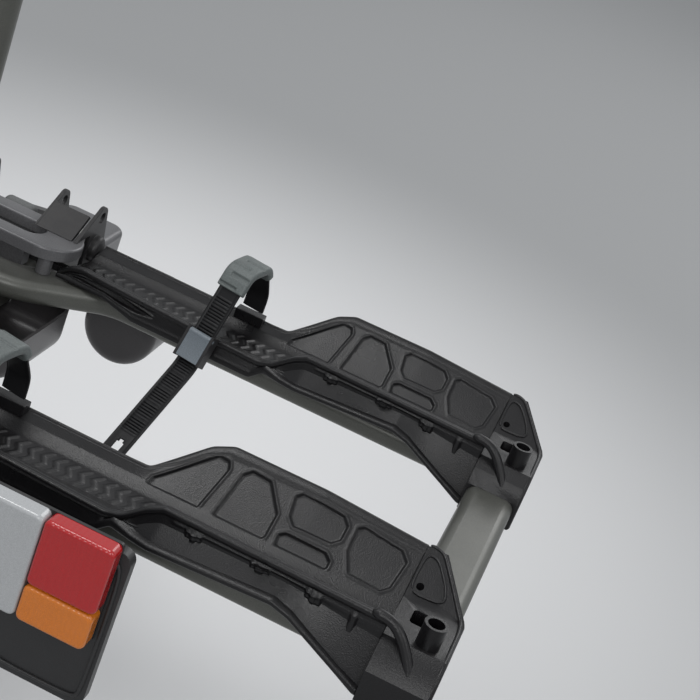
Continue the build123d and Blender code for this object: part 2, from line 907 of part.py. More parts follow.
# Tilt latch, rod and pedal
with BuildPart() as latch_hook:
    with BuildSketch(Plane.YZ.offset(-hook_half_x)):
        with Locations((hook_y, hook_z)):
            Circle(hook_eye_radius)
        Polygon(
            (hook_y - hook_arm_half, hook_z),
            (hook_y - hook_arm_half, hook_tail_z + rod_radius),
            (hook_y, hook_tail_z + rod_radius),
            (hook_y + hook_arm_half, hook_z + 7),
            (hook_y + hook_reach, hook_z + 10),
            (hook_y + hook_reach, hook_z + 15),
            (hook_y + hook_claw_reach - 3, hook_z + 15),
            (hook_y + hook_claw_reach, hook_z + 2),
            (hook_y + 4, hook_z - 8),
            align=None,
        )
        with Locations((hook_y, hook_z)):
            Circle(hook_pin_radius + pin_play, mode=Mode.SUBTRACT)
    extrude(amount=2 * hook_half_x)
pieces["latch_hook"] = latch_hook

with BuildPart() as release_rod:
    with BuildSketch(Plane(origin=(0, rod_rear_y, hook_tail_z), z_dir=(0, 1, 0))):
        Circle(rod_radius)
    extrude(amount=rod_front_y - rod_rear_y)
pieces["release_rod"] = release_rod

with BuildPart() as rod_guides:
    guide_ys = (belly_rear_y - 60, rod_rear_y + 30)
    guide_low = hook_tail_z - 2 * rod_radius
    for y in guide_ys:
        guide_y = (y - guide_half_y, y + guide_half_y)
        box_between((-guide_half_x, guide_half_x), guide_y, (guide_low, beam_bottom))
    with Locations(*[Plane(origin=(0, y, hook_tail_z), z_dir=(0, 1, 0)) for y in guide_ys]):
        Hole(rod_radius + pin_play)
pieces["rod_guides"] = rod_guides

with BuildPart() as tilt_pedal:
    for x in (beam_width / 2 + pedal_play, -beam_width / 2 - pedal_play - pedal_arm_thick):
        with BuildSketch(Plane.YZ.offset(x)):
            with Locations((pedal_y, pedal_z)):
                Circle(pedal_eye_radius)
            Polygon(
                (pedal_y - 9, pedal_z + 4),
                (pedal_y + 9, pedal_z + 4),
                (pedal_y + 14, pedal_web_low),
                (pedal_y + 2, pedal_plate_low),
                (pedal_plate_y, pedal_plate_low),
                (pedal_plate_y, pedal_plate_top),
                (pedal_y - 10, pedal_plate_top + 2),
                align=None,
            )
            with Locations((pedal_y, pedal_z)):
                Circle(pedal_pin_radius + pin_play, mode=Mode.SUBTRACT)
        extrude(amount=pedal_arm_thick)
    web_x = beam_width / 2 + 1
    box_between((-web_x, web_x), (pedal_y + 8, pedal_y + 13), (pedal_web_low, pedal_web_top))
    plate_y = (pedal_plate_y - 8, pedal_plate_y + 28)
    box_between((-pedal_half_x, pedal_half_x), plate_y, (pedal_plate_low, pedal_plate_top))
pieces["tilt_pedal"] = tilt_pedal

with BuildPart() as latch_pins:
    for y, z, radius, half in (
        (hook_y, hook_z, hook_pin_radius, cheek_outer_x + 2),
        (pedal_y, pedal_z, pedal_pin_radius, beam_width / 2 + pedal_arm_thick + 3),
    ):
        with BuildSketch(Plane.YZ.offset(-half)):
            with Locations((y, z)):
                Circle(radius)
        extrude(amount=2 * half)
pieces["latch_pins"] = latch_pins


# Mast
socket_top = beam_top + socket_height
with BuildPart() as mast_socket:
    box_between(
        (-beam_width / 2, beam_width / 2),
        (mast_y - socket_base / 2, mast_y + socket_base / 2),
        (beam_top, mast_foot),
    )
    fillet(mast_socket.edges().filter_by(Axis.Z), socket_corner)
    with Locations((0, mast_y, mast_foot)):
        Cylinder(socket_outer, socket_top - mast_foot, align=(Align.CENTER, Align.CENTER, Align.MIN))
    with Locations((0, mast_y, socket_top)):
        Hole(mast_radius + pin_play, socket_top - mast_foot)
    with Locations(Plane(origin=(0, mast_y - socket_outer, knob_z), z_dir=(0, -1, 0))):
        Hole(screw_radius + screw_play, socket_outer)
pieces["mast_socket"] = mast_socket

with BuildPart() as mast_tube:
    with BuildSketch(Plane.XY.offset(mast_foot)):
        with Locations((0, mast_y)):
            Circle(mast_radius)
            Circle(mast_radius - mast_wall, mode=Mode.SUBTRACT)
    extrude(amount=mast_top - mast_foot)
pieces["mast_tube"] = mast_tube

with BuildPart() as mast_cap:
    with Locations((0, mast_y, mast_top)):
        Cylinder(mast_radius, cap_height, align=(Align.CENTER, Align.CENTER, Align.MIN))
    fillet(mast_cap.faces().sort_by(Axis.Z)[-1].edges(), cap_edge)
    with Locations((0, mast_y, mast_top)):
        Cylinder(mast_radius - mast_wall - weld_gap, cap_plug, align=(Align.CENTER, Align.CENTER, Align.MAX))
pieces["mast_cap"] = mast_cap


def make_knob(rim, screw_length):
    """Lobed hand knob standing on the rim plane, with its screw going the other way."""
    with BuildPart() as knob:
        with BuildSketch(rim):
            Circle(knob_radius)
            with PolarLocations(knob_radius + lobe_out, lobe_count):
                Circle(lobe_cut, mode=Mode.SUBTRACT)
        extrude(amount=knob_height)
        fillet(knob.faces().sort_by(Axis(rim.origin, rim.z_dir))[-1].edges(), knob_edge)
        with BuildSketch(rim):
            Circle(screw_radius)
        extrude(amount=-screw_length)
    return knob


knob_rim = Plane(origin=(0, mast_y - socket_outer - 1, knob_z), x_dir=(1, 0, 0), z_dir=(0, -1, 0))
pieces["mast_knob"] = make_knob(knob_rim, 1 + socket_outer - mast_radius - part_gap)


# Frame arms on the mast
def make_arm(name, outward, height, reach):
    """Collar, bar, claw jaws and screw knob of one frame arm, pointing along Y."""
    claw_y = mast_y + outward * reach
    block_y = mast_y + outward * (reach - claw_radius - claw_wall - block_half)
    bar_end = mast_y + outward * (reach - claw_radius - claw_wall - 2 * block_half)
    claw_outer = claw_radius + claw_wall
    half_gap = claw_gap / 2

    with BuildPart() as collar:
        with Locations((0, mast_y, height)):
            Cylinder(mast_radius + collar_wall, collar_height)
        fillet(collar.edges().filter_by(GeomType.CIRCLE), collar_edge)
        with BuildSketch(Plane(origin=(0, mast_y, height), x_dir=(1, 0, 0), z_dir=(0, outward, 0))):
            RectangleRounded(arm_width, arm_height, arm_corner)
        extrude(amount=abs(bar_end - mast_y))
        with Locations((0, mast_y, height + collar_height)):
            Hole(mast_radius + pin_play)
    pieces[f"{name}_arm"] = collar

    with BuildPart() as lower:
        with BuildSketch(Plane(origin=(0, claw_y, height), x_dir=(0, 1, 0), z_dir=(1, 0, 0))):
            Circle(claw_outer)
            with Locations((0, claw_outer / 2 + half_gap)):
                Rectangle(3 * claw_outer, claw_outer, mode=Mode.SUBTRACT)
            with Locations((0, claw_outer - half_gap)):
                Rectangle(3 * claw_outer, 2 * claw_outer, mode=Mode.SUBTRACT)
            Circle(claw_radius, mode=Mode.SUBTRACT)
        extrude(amount=claw_half_x, both=True)
        y_span = sorted((bar_end, bar_end + outward * (2 * block_half + 2)))
        box_between((-block_half, block_half), y_span, (height - block_low, height - half_gap))
        back = sorted((bar_end, bar_end + outward * claw_back_thick))
        box_between((-block_half, block_half), back, (height - block_low, height + claw_back_high))
        with Locations((0, block_y, height)):
            Hole(screw_radius + screw_play)
    pieces[f"{name}_lower_jaw"] = lower

    with BuildPart() as upper:
        with BuildSketch(Plane(origin=(0, claw_y, height), x_dir=(0, 1, 0), z_dir=(1, 0, 0))):
            Circle(claw_outer)
            with Locations((0, -claw_outer + half_gap)):
                Rectangle(3 * claw_outer, 2 * claw_outer, mode=Mode.SUBTRACT)
            Circle(claw_radius, mode=Mode.SUBTRACT)
        extrude(amount=claw_half_x, both=True)
        near, far = claw_back_thick + part_gap, 2 * block_half + 2
        y_span = sorted((bar_end + outward * near, bar_end + outward * far))
        box_between((-block_half, block_half), y_span, (height + half_gap, height + block_high))
        with Locations((0, block_y, height + block_high)):
            Hole(screw_radius + screw_play)
    pieces[f"{name}_upper_jaw"] = upper

    rim_below = block_low + 1
    rim = Plane(origin=(0, block_y, height - rim_below), x_dir=(1, 0, 0), z_dir=(0, 0, -1))
    pieces[f"{name}_jaw_knob"] = make_knob(rim, rim_below + block_high + jaw_lift + 6)


make_arm("front", 1, arm_front_z, arm_front_reach)
make_arm("rear", -1, arm_rear_z, arm_rear_reach)


# Wheel straps
def strap_plane(buckle_x, row_y):
    """Upright plane of one strap: along the strap, then up."""
    turn = radians(strap_turn)
    return Plane(
        origin=(buckle_x - strap_buckle_u * sin(turn), row_y, 0),
        x_dir=(sin(turn), cos(turn), 0),
        z_dir=(cos(turn), -sin(turn), 0),
    )


strap_line = [
    (strap_far_u, strap_foot_z),
    (strap_far_u, strap_knee_z),
    (strap_over_far_u, strap_over_z),
    (strap_over_near_u, strap_over_z - 2),
    (buckle_top_u, buckle_top_z),
    (buckle_low_u, buckle_low_z),
]
strap_tails = {
    "front": (strap_tail_u, strap_tail_z),
    "rear": (rear_tail_u, rear_tail_z),
}


def part_way(a, b, share):
    """Point that lies a share of the way from a to b."""
    return (a[0] + (b[0] - a[0]) * share, a[1] + (b[1] - a[1]) * share)


pad_line = [
    part_way(strap_line[1], strap_line[2], 0.6),
    strap_line[2],
    strap_line[3],
    part_way(strap_line[3], strap_line[4], 0.4),
]
buckle_run = atan2(buckle_low_z - buckle_top_z, buckle_low_u - buckle_top_u)


def buckle_plane(strap):
    """Plane across one buckle: down along the strap, then out towards the hand."""
    middle = part_way((buckle_top_u, buckle_top_z), (buckle_low_u, buckle_low_z), 0.5)
    along = strap.x_dir * cos(buckle_run) + strap.y_dir * sin(buckle_run)
    return Plane(origin=strap.from_local_coords((*middle, 0)), x_dir=along, z_dir=-strap.z_dir)


strap_planes = {
    "front": strap_plane(strap_front_x, front_row_y),
    "rear": strap_plane(strap_rear_x, rear_row_y),
}

with BuildPart() as ladder_straps:
    for row_name, strap in strap_planes.items():
        with BuildLine(strap) as strap_run:
            FilletPolyline(*strap_line, strap_tails[row_name], radius=strap_bend)
        with BuildSketch(Plane(origin=strap_run.line @ 0, x_dir=strap.z_dir, z_dir=(0, 0, 1))):
            Rectangle(strap_width, strap_thick)
        sweep(path=strap_run.line)
    mirror(about=Plane.YZ)
pieces["ladder_straps"] = ladder_straps

with BuildPart() as rim_pads:
    for strap in strap_planes.values():
        with BuildLine(strap) as pad_run:
            FilletPolyline(*pad_line, radius=strap_bend)
        for width, thick, mode in (
            (pad_width, pad_thick, Mode.ADD),
            (strap_width + 2 * part_gap, strap_thick + 2 * part_gap, Mode.SUBTRACT),
        ):
            with BuildSketch(Plane(origin=pad_run.line @ 0, x_dir=strap.z_dir, z_dir=pad_run.line % 0)):
                Rectangle(width, thick)
            sweep(path=pad_run.line, mode=mode)
    mirror(about=Plane.YZ)
pieces["rim_pads"] = rim_pads

shelf_rise = (far_lip_z - tray_shelf_z) / (far_lip_y - tray_shelf_y)
with BuildPart() as strap_anchors:
    for strap, row_y in ((strap_planes["front"], front_row_y), (strap_planes["rear"], rear_row_y)):
        foot = strap.from_local_coords((strap_far_u, strap_foot_z, 0))
        low_y = foot.Y - row_y - anchor_depth / 2
        high_y = low_y + anchor_depth
        with BuildSketch(Plane.YZ.offset(foot.X - anchor_width / 2)):
            Polygon(
                (row_y + low_y, tray_shelf_z + (low_y - tray_shelf_y) * shelf_rise),
                (row_y + high_y, tray_shelf_z + (high_y - tray_shelf_y) * shelf_rise),
                (row_y + high_y, strap_foot_z),
                (row_y + low_y, strap_foot_z),
                align=None,
            )
        extrude(amount=anchor_width)
    mirror(about=Plane.YZ)
pieces["strap_anchors"] = strap_anchors

buckle_inside = strap_width / 2 + buckle_play
buckle_floor = -strap_thick / 2 - part_gap
with BuildPart() as buckle_frames:
    for row_name, strap in strap_planes.items():
        across = buckle_plane(strap)
        with BuildSketch(across):
            with Locations((0, (buckle_depth + buckle_floor - buckle_wall) / 2)):
                Rectangle(buckle_length, buckle_depth - buckle_floor + buckle_wall)
        extrude(amount=buckle_inside + buckle_wall, both=True)
        with BuildSketch(across):
            with Locations((0, buckle_floor + buckle_depth)):
                Rectangle(buckle_length + 2, 2 * buckle_depth)
        extrude(amount=buckle_inside, both=True, mode=Mode.SUBTRACT)
        with BuildSketch(across):
            with Locations((lever_pivot_a, lever_pivot_b)):
                Circle(buckle_pin_radius + pin_play)
        extrude(amount=buckle_inside + buckle_wall + 1, both=True, mode=Mode.SUBTRACT)
        with BuildSketch(strap):
            Polygon(
                (tongue_low_u, tongue_low),
                (tongue_high_u, tongue_high),
                (tongue_end_u, tongue_high),
                (tongue_end_u, tongue_low),
                align=None,
            )
        extrude(amount=tongue_half, both=True)
        add(pieces[f"{row_name}_right_tray"].part, mode=Mode.SUBTRACT)
    mirror(about=Plane.YZ)
pieces["buckle_frames"] = buckle_frames


def make_buckle_lever(strap):
    """Cap lever of one buckle with its cross pin."""
    with BuildPart() as lever:
        with BuildSketch(buckle_plane(strap)):
            with Locations((lever_pivot_a, lever_pivot_b)):
                Circle(buckle_pin_radius + lever_eye_wall)
            with Locations((lever_pivot_a + cap_length / 2, buckle_depth - lever_cap_thick / 2)):
                Rectangle(cap_length, lever_cap_thick)
        extrude(amount=buckle_inside - part_gap, both=True)
        with BuildSketch(buckle_plane(strap)):
            with Locations((lever_pivot_a, lever_pivot_b)):
                Circle(buckle_pin_radius)
        extrude(amount=buckle_inside + buckle_wall, both=True)
    return lever


for row_name, strap in strap_planes.items():
    lever = make_buckle_lever(strap)
    pieces[f"{row_name}_right_buckle_lever"] = lever
    pieces[f"{row_name}_left_buckle_lever"] = mirrored(lever)


# Light board behind the rear row
board_rear_y = board_front_y - board_thick
with BuildPart() as light_board:
    with BuildSketch(Plane(origin=(0, board_front_y, 0), x_dir=(1, 0, 0), z_dir=(0, -1, 0))):
        with Locations((0, (board_bottom + board_top) / 2)):
            RectangleRounded(2 * board_half_x, board_top - board_bottom, board_corner)
        foot_x = board_half_x - foot_width / 2
        with Locations(*[(side * foot_x, (board_top + foot_bottom) / 2) for side in (-1, 1)]):
            RectangleRounded(foot_width, board_top - foot_bottom, board_corner)
    extrude(amount=board_thick)
    pad_z = (board_bottom + ledge_thick + 1, board_bottom + ledge_thick + 1 + plate_pad_height)
    box_between((-plate_half_x, plate_half_x), (board_rear_y - plate_pad, board_rear_y), pad_z)
    box_between(
        (-notch_half_x, notch_half_x),
        (board_rear_y - 2, board_front_y + 1),
        (board_bottom - 1, notch_top),
        Mode.SUBTRACT,
    )
    for side in (-1, 1):
        ledge = sorted((side * (notch_half_x + 10), side * plate_half_x))
        ledge_y = (board_rear_y - ledge_depth, board_rear_y)
        box_between(ledge, ledge_y, (board_bottom, board_bottom + ledge_thick))
    with Locations(Plane(origin=(gland_x, board_front_y, gland_z), z_dir=(0, 1, 0))):
        Cylinder(gland_radius, gland_length, align=(Align.CENTER, Align.CENTER, Align.MIN))
    with Locations(Plane(origin=(gland_x, board_front_y + gland_length, gland_z), z_dir=(0, 1, 0))):
        Hole(gland_bore, gland_length + board_thick / 2)
pieces["light_board"] = light_board

with BuildPart() as lamp_bases:
    for side in (-1, 1):
        lamp_x = sorted((side * lamp_inner_x, side * lamp_outer_x))
        box_between(lamp_x, (board_rear_y - lamp_base, board_rear_y), (lamp_low, lamp_high))
    fillet(lamp_bases.edges().filter_by(Axis.Y), lamp_corner)
pieces["lamp_bases"] = lamp_bases

lens_back_y = board_rear_y - lamp_base
for lens_name, low_x, high_x, low_z, high_z in (
    ("clear_lenses", lamp_inner_x, lamp_split_x, lamp_low, lamp_high),
    ("amber_lenses", lamp_split_x, lamp_outer_x, lamp_low, lamp_split_z),
    ("red_lenses", lamp_split_x, lamp_outer_x, lamp_split_z, lamp_high),
):
    with BuildPart() as lens:
        box_between(
            (low_x + part_gap, high_x - part_gap),
            (lens_back_y - lens_depth, lens_back_y),
            (low_z + part_gap, high_z - part_gap),
        )
        fillet(lens.edges().filter_by(Axis.Y), lens_corner)
        fillet(lens.faces().sort_by(Axis.Y)[0].edges(), lens_edge)
        offset(amount=-lens_wall, openings=lens.faces().sort_by(Axis.Y)[-1])
        mirror(about=Plane.YZ)
    pieces[lens_name] = lens

with BuildPart() as board_stays:
    for side in (-1, 1):
        stay_x = (side * stay_x_centre - stay_width / 2, side * stay_x_centre + stay_width / 2)
        box_between(stay_x, (board_front_y, rear_row_y), (tube_bottom - stay_thick, tube_bottom))
        box_between(stay_x, (board_front_y, board_front_y + stay_thick), (stay_low, tube_bottom))
pieces["board_stays"] = board_stays

# Screws through trays, tubes and covers
with BuildPart() as frame_screws:
    tray_spots = [(side * x, y) for y in (front_row_y, rear_row_y) for side in (-1, 1) for x in tray_screw_xs]
    with Locations(*[(x, y, groove_floor) for x, y in tray_spots]):
        Cone(
            screw_shank_radius,
            screw_head_radius,
            screw_head_height,
            align=(Align.CENTER, Align.CENTER, Align.MAX),
        )
        Cylinder(screw_shank_radius, tray_screw_length, align=(Align.CENTER, Align.CENTER, Align.MAX))
    cover_spots = [(side * cover_x, cover_back_y + head_thick, cover_z) for side in (-1, 1)]
    with Locations(*[Plane(origin=spot, z_dir=(0, 1, 0)) for spot in cover_spots]):
        Cylinder(screw_head_radius, screw_head_height, align=(Align.CENTER, Align.CENTER, Align.MIN))
        Cylinder(screw_shank_radius, cover_screw_length, align=(Align.CENTER, Align.CENTER, Align.MAX))
pieces["frame_screws"] = frame_screws

if __name__ == "__main__":
    for name, piece in pieces.items():
        piece.part.label = name
        export_step(piece.part, f"parts/{name}.step")
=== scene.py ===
"""Looks of a tow ball bike carrier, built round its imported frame. Metres, origin at the tow ball."""

import json
import math

import bmesh
import bpy
import numpy as np
from mathutils import Matrix, Vector


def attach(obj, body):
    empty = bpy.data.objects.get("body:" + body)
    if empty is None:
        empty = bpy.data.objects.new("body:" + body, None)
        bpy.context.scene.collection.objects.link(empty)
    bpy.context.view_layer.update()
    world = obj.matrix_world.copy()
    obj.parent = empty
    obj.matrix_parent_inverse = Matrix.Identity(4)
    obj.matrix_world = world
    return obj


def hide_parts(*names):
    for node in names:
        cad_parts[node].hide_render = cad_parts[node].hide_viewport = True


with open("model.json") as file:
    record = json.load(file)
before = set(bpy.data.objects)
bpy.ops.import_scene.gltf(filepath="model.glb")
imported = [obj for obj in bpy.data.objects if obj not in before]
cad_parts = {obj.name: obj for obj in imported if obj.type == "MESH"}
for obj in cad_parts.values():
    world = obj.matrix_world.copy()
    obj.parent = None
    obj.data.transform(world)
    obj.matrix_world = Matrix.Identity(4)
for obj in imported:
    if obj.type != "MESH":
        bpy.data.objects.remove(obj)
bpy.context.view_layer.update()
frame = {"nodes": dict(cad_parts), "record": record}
nodes = frame["nodes"]
slots = {row["node"]: row["material_slot"] for row in frame["record"]["subparts"]}
body_of = {node: body for body, held in frame["record"]["behaviour"]["bodies"].items() for node in held}
MM = 0.001
# Tray rows along y and sides along x, in millimetres
ROWS = (("front", -215), ("rear", -545))
SIDES = (("right", 1), ("left", -1))

# Camera and stage
CAMERA_PLACE = (0.5402, -1.5241, 0.7088)
CAMERA_RIGHT = (0.8977, 0.2798, 0.3403)
CAMERA_FORWARD = (-0.1302, 0.9065, -0.4016)
CAMERA_LENS = 82.2
CAMERA_SENSOR = 36
CAMERA_REACH = 50
GROUND_Z = -0.42
FLOOR_HALF = 27
FLOOR_LINES = 19
# Painted light on the floor: a painted pool of light round this point, pale out to one distance, and painted
# shade, grey, from another distance on, standing in for the lamps' falloff
PAINTED_LIGHT_POOL_CENTRE = (-0.1, 0.6, GROUND_Z)
PAINTED_LIGHT_POOL_UP_TO = 0.15
PAINTED_SHADE_FROM = 1.6
PAINTED_LIT_PAPER = (0.86, 0.86, 0.865, 1)
PAINTED_SHADE_PAPER = (0.42, 0.425, 0.43, 1)
PAPER_ROUGHNESS = 0.75
PAPER_SPECULAR = 0.2
STUDIO_AIR = (0.86, 0.88, 0.9, 1)
STUDIO_LEVEL = 0.6
# Each lamp: name, place, the point it looks at, side of its square in metres, power in watts
SOFTBOXES = (
    ("key_box", (-0.5, -0.9, 2.6), (0.2, -0.35, 0.05), 1.0, 23),
    ("side_box", (2.2, -1.2, 1.6), (0.2, -0.35, 0.05), 0.8, 7),
    ("front_box", (0.6, -2.8, 1.3), (0.2, -0.35, 0.05), 1.0, 14),
    ("back_box", (1.6, 4.2, 3.2), (0.2, -0.3, 0.05), 2.4, 45),
)


def add_node(tree, kind, values=None, **settings):
    """Shader node of one kind: settings are its own choices, values its plain inputs by label or number."""
    node = tree.nodes.new(kind)
    for label, value in settings.items():
        setattr(node, label, value)
    for label, value in (values or {}).items():
        node.inputs[label].default_value = value
    return node


def add_object(name, data):
    """Object with this data in the scene, at the origin."""
    made = bpy.data.objects.new(name, data)
    bpy.context.scene.collection.objects.link(made)
    return made


def add_camera():
    """Camera on the photograph's axis: its place, and its right, down and forward directions."""
    right = Vector(CAMERA_RIGHT).normalized()
    forward = Vector(CAMERA_FORWARD).normalized()
    down = forward.cross(right).normalized()
    right = down.cross(forward)
    turn = Matrix((right, -down, -forward)).transposed().to_4x4()
    data = bpy.data.cameras.new("view_camera")
    data.sensor_width = CAMERA_SENSOR
    data.lens = CAMERA_LENS
    data.clip_end = CAMERA_REACH
    camera = add_object("view_camera", data)
    camera.matrix_world = Matrix.Translation(CAMERA_PLACE) @ turn
    bpy.context.scene.camera = camera


def add_softbox(name, place, target, size, power):
    """Square area lamp at place that looks at target."""
    data = bpy.data.lights.new(name, "AREA")
    data.shape = "SQUARE"
    data.size = size
    data.energy = power
    lamp = add_object(name, data)
    lamp.location = place
    lamp.rotation_euler = (Vector(target) - Vector(place)).to_track_quat("-Z", "Y").to_euler()


def add_floor():
    """Flat floor where the ground lies under a car's tow ball: an even square grid, with light and shade
    painted
    on its paper: pale as a painted pool of light within one distance of the pool's centre, grey as painted
    shade from another distance on, with a smooth step between."""
    steps = np.linspace(-FLOOR_HALF, FLOOR_HALF, FLOOR_LINES)
    gx, gy = np.meshgrid(steps, steps)
    verts = np.stack([gx, gy, np.full_like(gx, GROUND_Z)], -1).reshape(-1, 3)
    index = np.arange(FLOOR_LINES**2).reshape(FLOOR_LINES, FLOOR_LINES)
    quads = np.stack([index[:-1, :-1], index[:-1, 1:], index[1:, 1:], index[1:, :-1]], -1).reshape(-1, 4)
    mesh = bpy.data.meshes.new("floor")
    mesh.from_pydata(verts.tolist(), [], quads.tolist())
    mesh.shade_smooth()
    add_object("floor", mesh)
    material = bpy.data.materials.new("floor_paper")
    material.use_nodes = True
    tree = material.node_tree
    shader = tree.nodes["Principled BSDF"]
    point = add_node(tree, "ShaderNodeTexCoord")
    # Painted light and shade: the paper's colour steps from painted light near the pool's centre to painted
    # shade further away
    away = add_node(tree, "ShaderNodeVectorMath", {1: PAINTED_LIGHT_POOL_CENTRE}, operation="DISTANCE")
    limits = {"From Min": PAINTED_LIGHT_POOL_UP_TO, "From Max": PAINTED_SHADE_FROM}
    fade = add_node(tree, "ShaderNodeMapRange", limits, interpolation_type="SMOOTHSTEP")
    shade = add_node(tree, "ShaderNodeMix", {"A": PAINTED_LIT_PAPER, "B": PAINTED_SHADE_PAPER}, data_type="RGBA")
    tree.links.new(point.outputs["Object"], away.inputs[0])
    tree.links.new(away.outputs["Value"], fade.inputs["Value"])
    tree.links.new(fade.outputs["Result"], shade.inputs["Factor"])
    tree.links.new(shade.outputs["Result"], shader.inputs["Base Color"])
    shader.inputs["Roughness"].default_value = PAPER_ROUGHNESS
    shader.inputs["Specular IOR Level"].default_value = PAPER_SPECULAR
    mesh.materials.append(material)


add_camera()
add_floor()
world = bpy.context.scene.world or bpy.data.worlds.new("studio")
bpy.context.scene.world = world
world.use_nodes = True
world.node_tree.nodes["Background"].inputs["Color"].default_value = STUDIO_AIR
world.node_tree.nodes["Background"].inputs["Strength"].default_value = STUDIO_LEVEL
for softbox in SOFTBOXES:
    add_softbox(*softbox)
bpy.context.scene.view_settings.view_transform = "Standard"


# Shared effects
GRAIN_INPUTS = (
    ("Point", "NodeSocketVector", None),
    ("Color", "NodeSocketColor", (0.1, 0.1, 0.1, 1)),
    ("Grain Scale", "NodeSocketFloat", 900.0),
    ("Drift", "NodeSocketFloat", 0.15),
    ("Roughness", "NodeSocketFloat", 0.5),
    ("Roughness Spread", "NodeSocketFloat", 0.1),
    ("Normal", "NodeSocketVector", None),
    ("Dust", "NodeSocketFloat", 0.0),
)
GRAIN_OUTPUTS = (
    ("Color", "NodeSocketColor"),
    ("Roughness", "NodeSocketFloat"),
    ("Height", "NodeSocketFloat"),
)
DUST_COLOR = (0.2, 0.19, 0.175, 1)
DRIFT_SCALE = 14
CLOUD_SCALE = 45
# What the noises are stretched over: the middle of their values, and for dust how far a face looks up
DRIFT_FROM, DRIFT_TO = 0.3, 0.7
SPECK_FROM, SPECK_TO, SPECK_DARK, SPECK_PALE = 0.35, 0.75, 0.86, 1.2
CLOUD_FROM, CLOUD_TO = 0.42, 0.72
LOOKS_UP_FROM = 0.55
GRAIN_RELIEF = 0.0004
COAT_ROUGHNESS = 0.25
# Length in metres after which a wave texture of scale 1 repeats
WAVE_LENGTH = 0.314
FLUTE_RELIEF = 0.0003
FLUTE_STRENGTH = 0.6


def grain_group():
    """Moulded or sprayed grain. The color is scaled by a fine noise and by a coarser drift, and dust lies
    over it in clouded patches where the surface looks up. The drift also moves the roughness, and the
    fine noise is the height for a bump."""
    group = bpy.data.node_groups.new("surface_grain", "ShaderNodeTree")
    for label, kind, value in GRAIN_INPUTS:
        socket = group.interface.new_socket(label, in_out="INPUT", socket_type=kind)
        if value is not None:
            socket.default_value = value
    for label, kind in GRAIN_OUTPUTS:
        group.interface.new_socket(label, in_out="OUTPUT", socket_type=kind)
    start = add_node(group, "NodeGroupInput")
    end = add_node(group, "NodeGroupOutput")
    link = group.links.new

    def remap(source, from_min, from_max, to_min=0, to_max=1):
        limits = {"From Min": from_min, "From Max": from_max, "To Min": to_min, "To Max": to_max}
        ramp = add_node(group, "ShaderNodeMapRange", limits)
        link(source, ramp.inputs["Value"])
        return ramp.outputs["Result"]

    def combine(operation, *sources, values=None):
        made = add_node(group, "ShaderNodeMath", values, operation=operation)
        for place, source in enumerate(sources):
            link(source, made.inputs[place])
        return made.outputs[0]

    fine = add_node(group, "ShaderNodeTexNoise", {"Detail": 3})
    wide = add_node(group, "ShaderNodeTexNoise", {"Scale": DRIFT_SCALE, "Detail": 4})
    cloud = add_node(group, "ShaderNodeTexNoise", {"Scale": CLOUD_SCALE, "Detail": 8, "Roughness": 0.7})
    for noise in (fine, wide, cloud):
        link(start.outputs["Point"], noise.inputs["Vector"])
    link(start.outputs["Grain Scale"], fine.inputs["Scale"])
    swing = remap(wide.outputs["Fac"], DRIFT_FROM, DRIFT_TO, -1, 1)
    amount = combine("MULTIPLY_ADD", swing, start.outputs["Drift"], values={2: 1})
    speck = remap(fine.outputs["Fac"], SPECK_FROM, SPECK_TO, SPECK_DARK, SPECK_PALE)
    tint = add_node(group, "ShaderNodeVectorMath", operation="SCALE")
    link(start.outputs["Color"], tint.inputs[0])
    link(combine("MULTIPLY", amount, speck), tint.inputs["Scale"])
    apart = add_node(group, "ShaderNodeSeparateXYZ")
    link(start.outputs["Normal"], apart.inputs[0])
    upward = remap(apart.outputs["Z"], LOOKS_UP_FROM, 1)
    lying = combine("MULTIPLY", upward, remap(cloud.outputs["Fac"], CLOUD_FROM, CLOUD_TO))
    settle = add_node(group, "ShaderNodeMix", {"B": DUST_COLOR}, data_type="RGBA")
    link(combine("MULTIPLY", lying, start.outputs["Dust"]), settle.inputs["Factor"])
    link(tint.outputs["Vector"], settle.inputs["A"])
    link(settle.outputs["Result"], end.inputs["Color"])
    rough = combine("MULTIPLY_ADD", swing, start.outputs["Roughness Spread"], start.outputs["Roughness"])
    link(rough, end.inputs["Roughness"])
    link(fine.outputs["Fac"], end.inputs["Height"])
    return group


GRAIN = grain_group()


def grained(
    name, color, roughness, scale, drift, spread, bump, metallic=0.0, coat=0.0, specular=0.5, dust=0.1
):
    """Finish with the shared grain on its color, roughness and bump."""
    material = bpy.data.materials.new(name)
    material.use_nodes = True
    tree = material.node_tree
    shader = tree.nodes["Principled BSDF"]
    shader.inputs["Metallic"].default_value = metallic
    shader.inputs["Coat Weight"].default_value = coat
    shader.inputs["Coat Roughness"].default_value = COAT_ROUGHNESS
    shader.inputs["Specular IOR Level"].default_value = specular
    point = add_node(tree, "ShaderNodeTexCoord")
    facing = add_node(tree, "ShaderNodeNewGeometry")
    grain = add_node(tree, "ShaderNodeGroup", node_tree=GRAIN)
    for label, value in (
        ("Color", (*color, 1)),
        ("Grain Scale", scale),
        ("Drift", drift),
        ("Roughness", roughness),
        ("Roughness Spread", spread),
        ("Dust", dust),
    ):
        grain.inputs[label].default_value = value
    relief = add_node(tree, "ShaderNodeBump", {"Strength": bump, "Distance": GRAIN_RELIEF})
    tree.links.new(facing.outputs["Normal"], grain.inputs["Normal"])
    tree.links.new(point.outputs["Object"], grain.inputs["Point"])
    tree.links.new(grain.outputs["Color"], shader.inputs["Base Color"])
    tree.links.new(grain.outputs["Roughness"], shader.inputs["Roughness"])
    tree.links.new(grain.outputs["Height"], relief.inputs["Height"])
    tree.links.new(relief.outputs["Normal"], shader.inputs["Normal"])
    return material


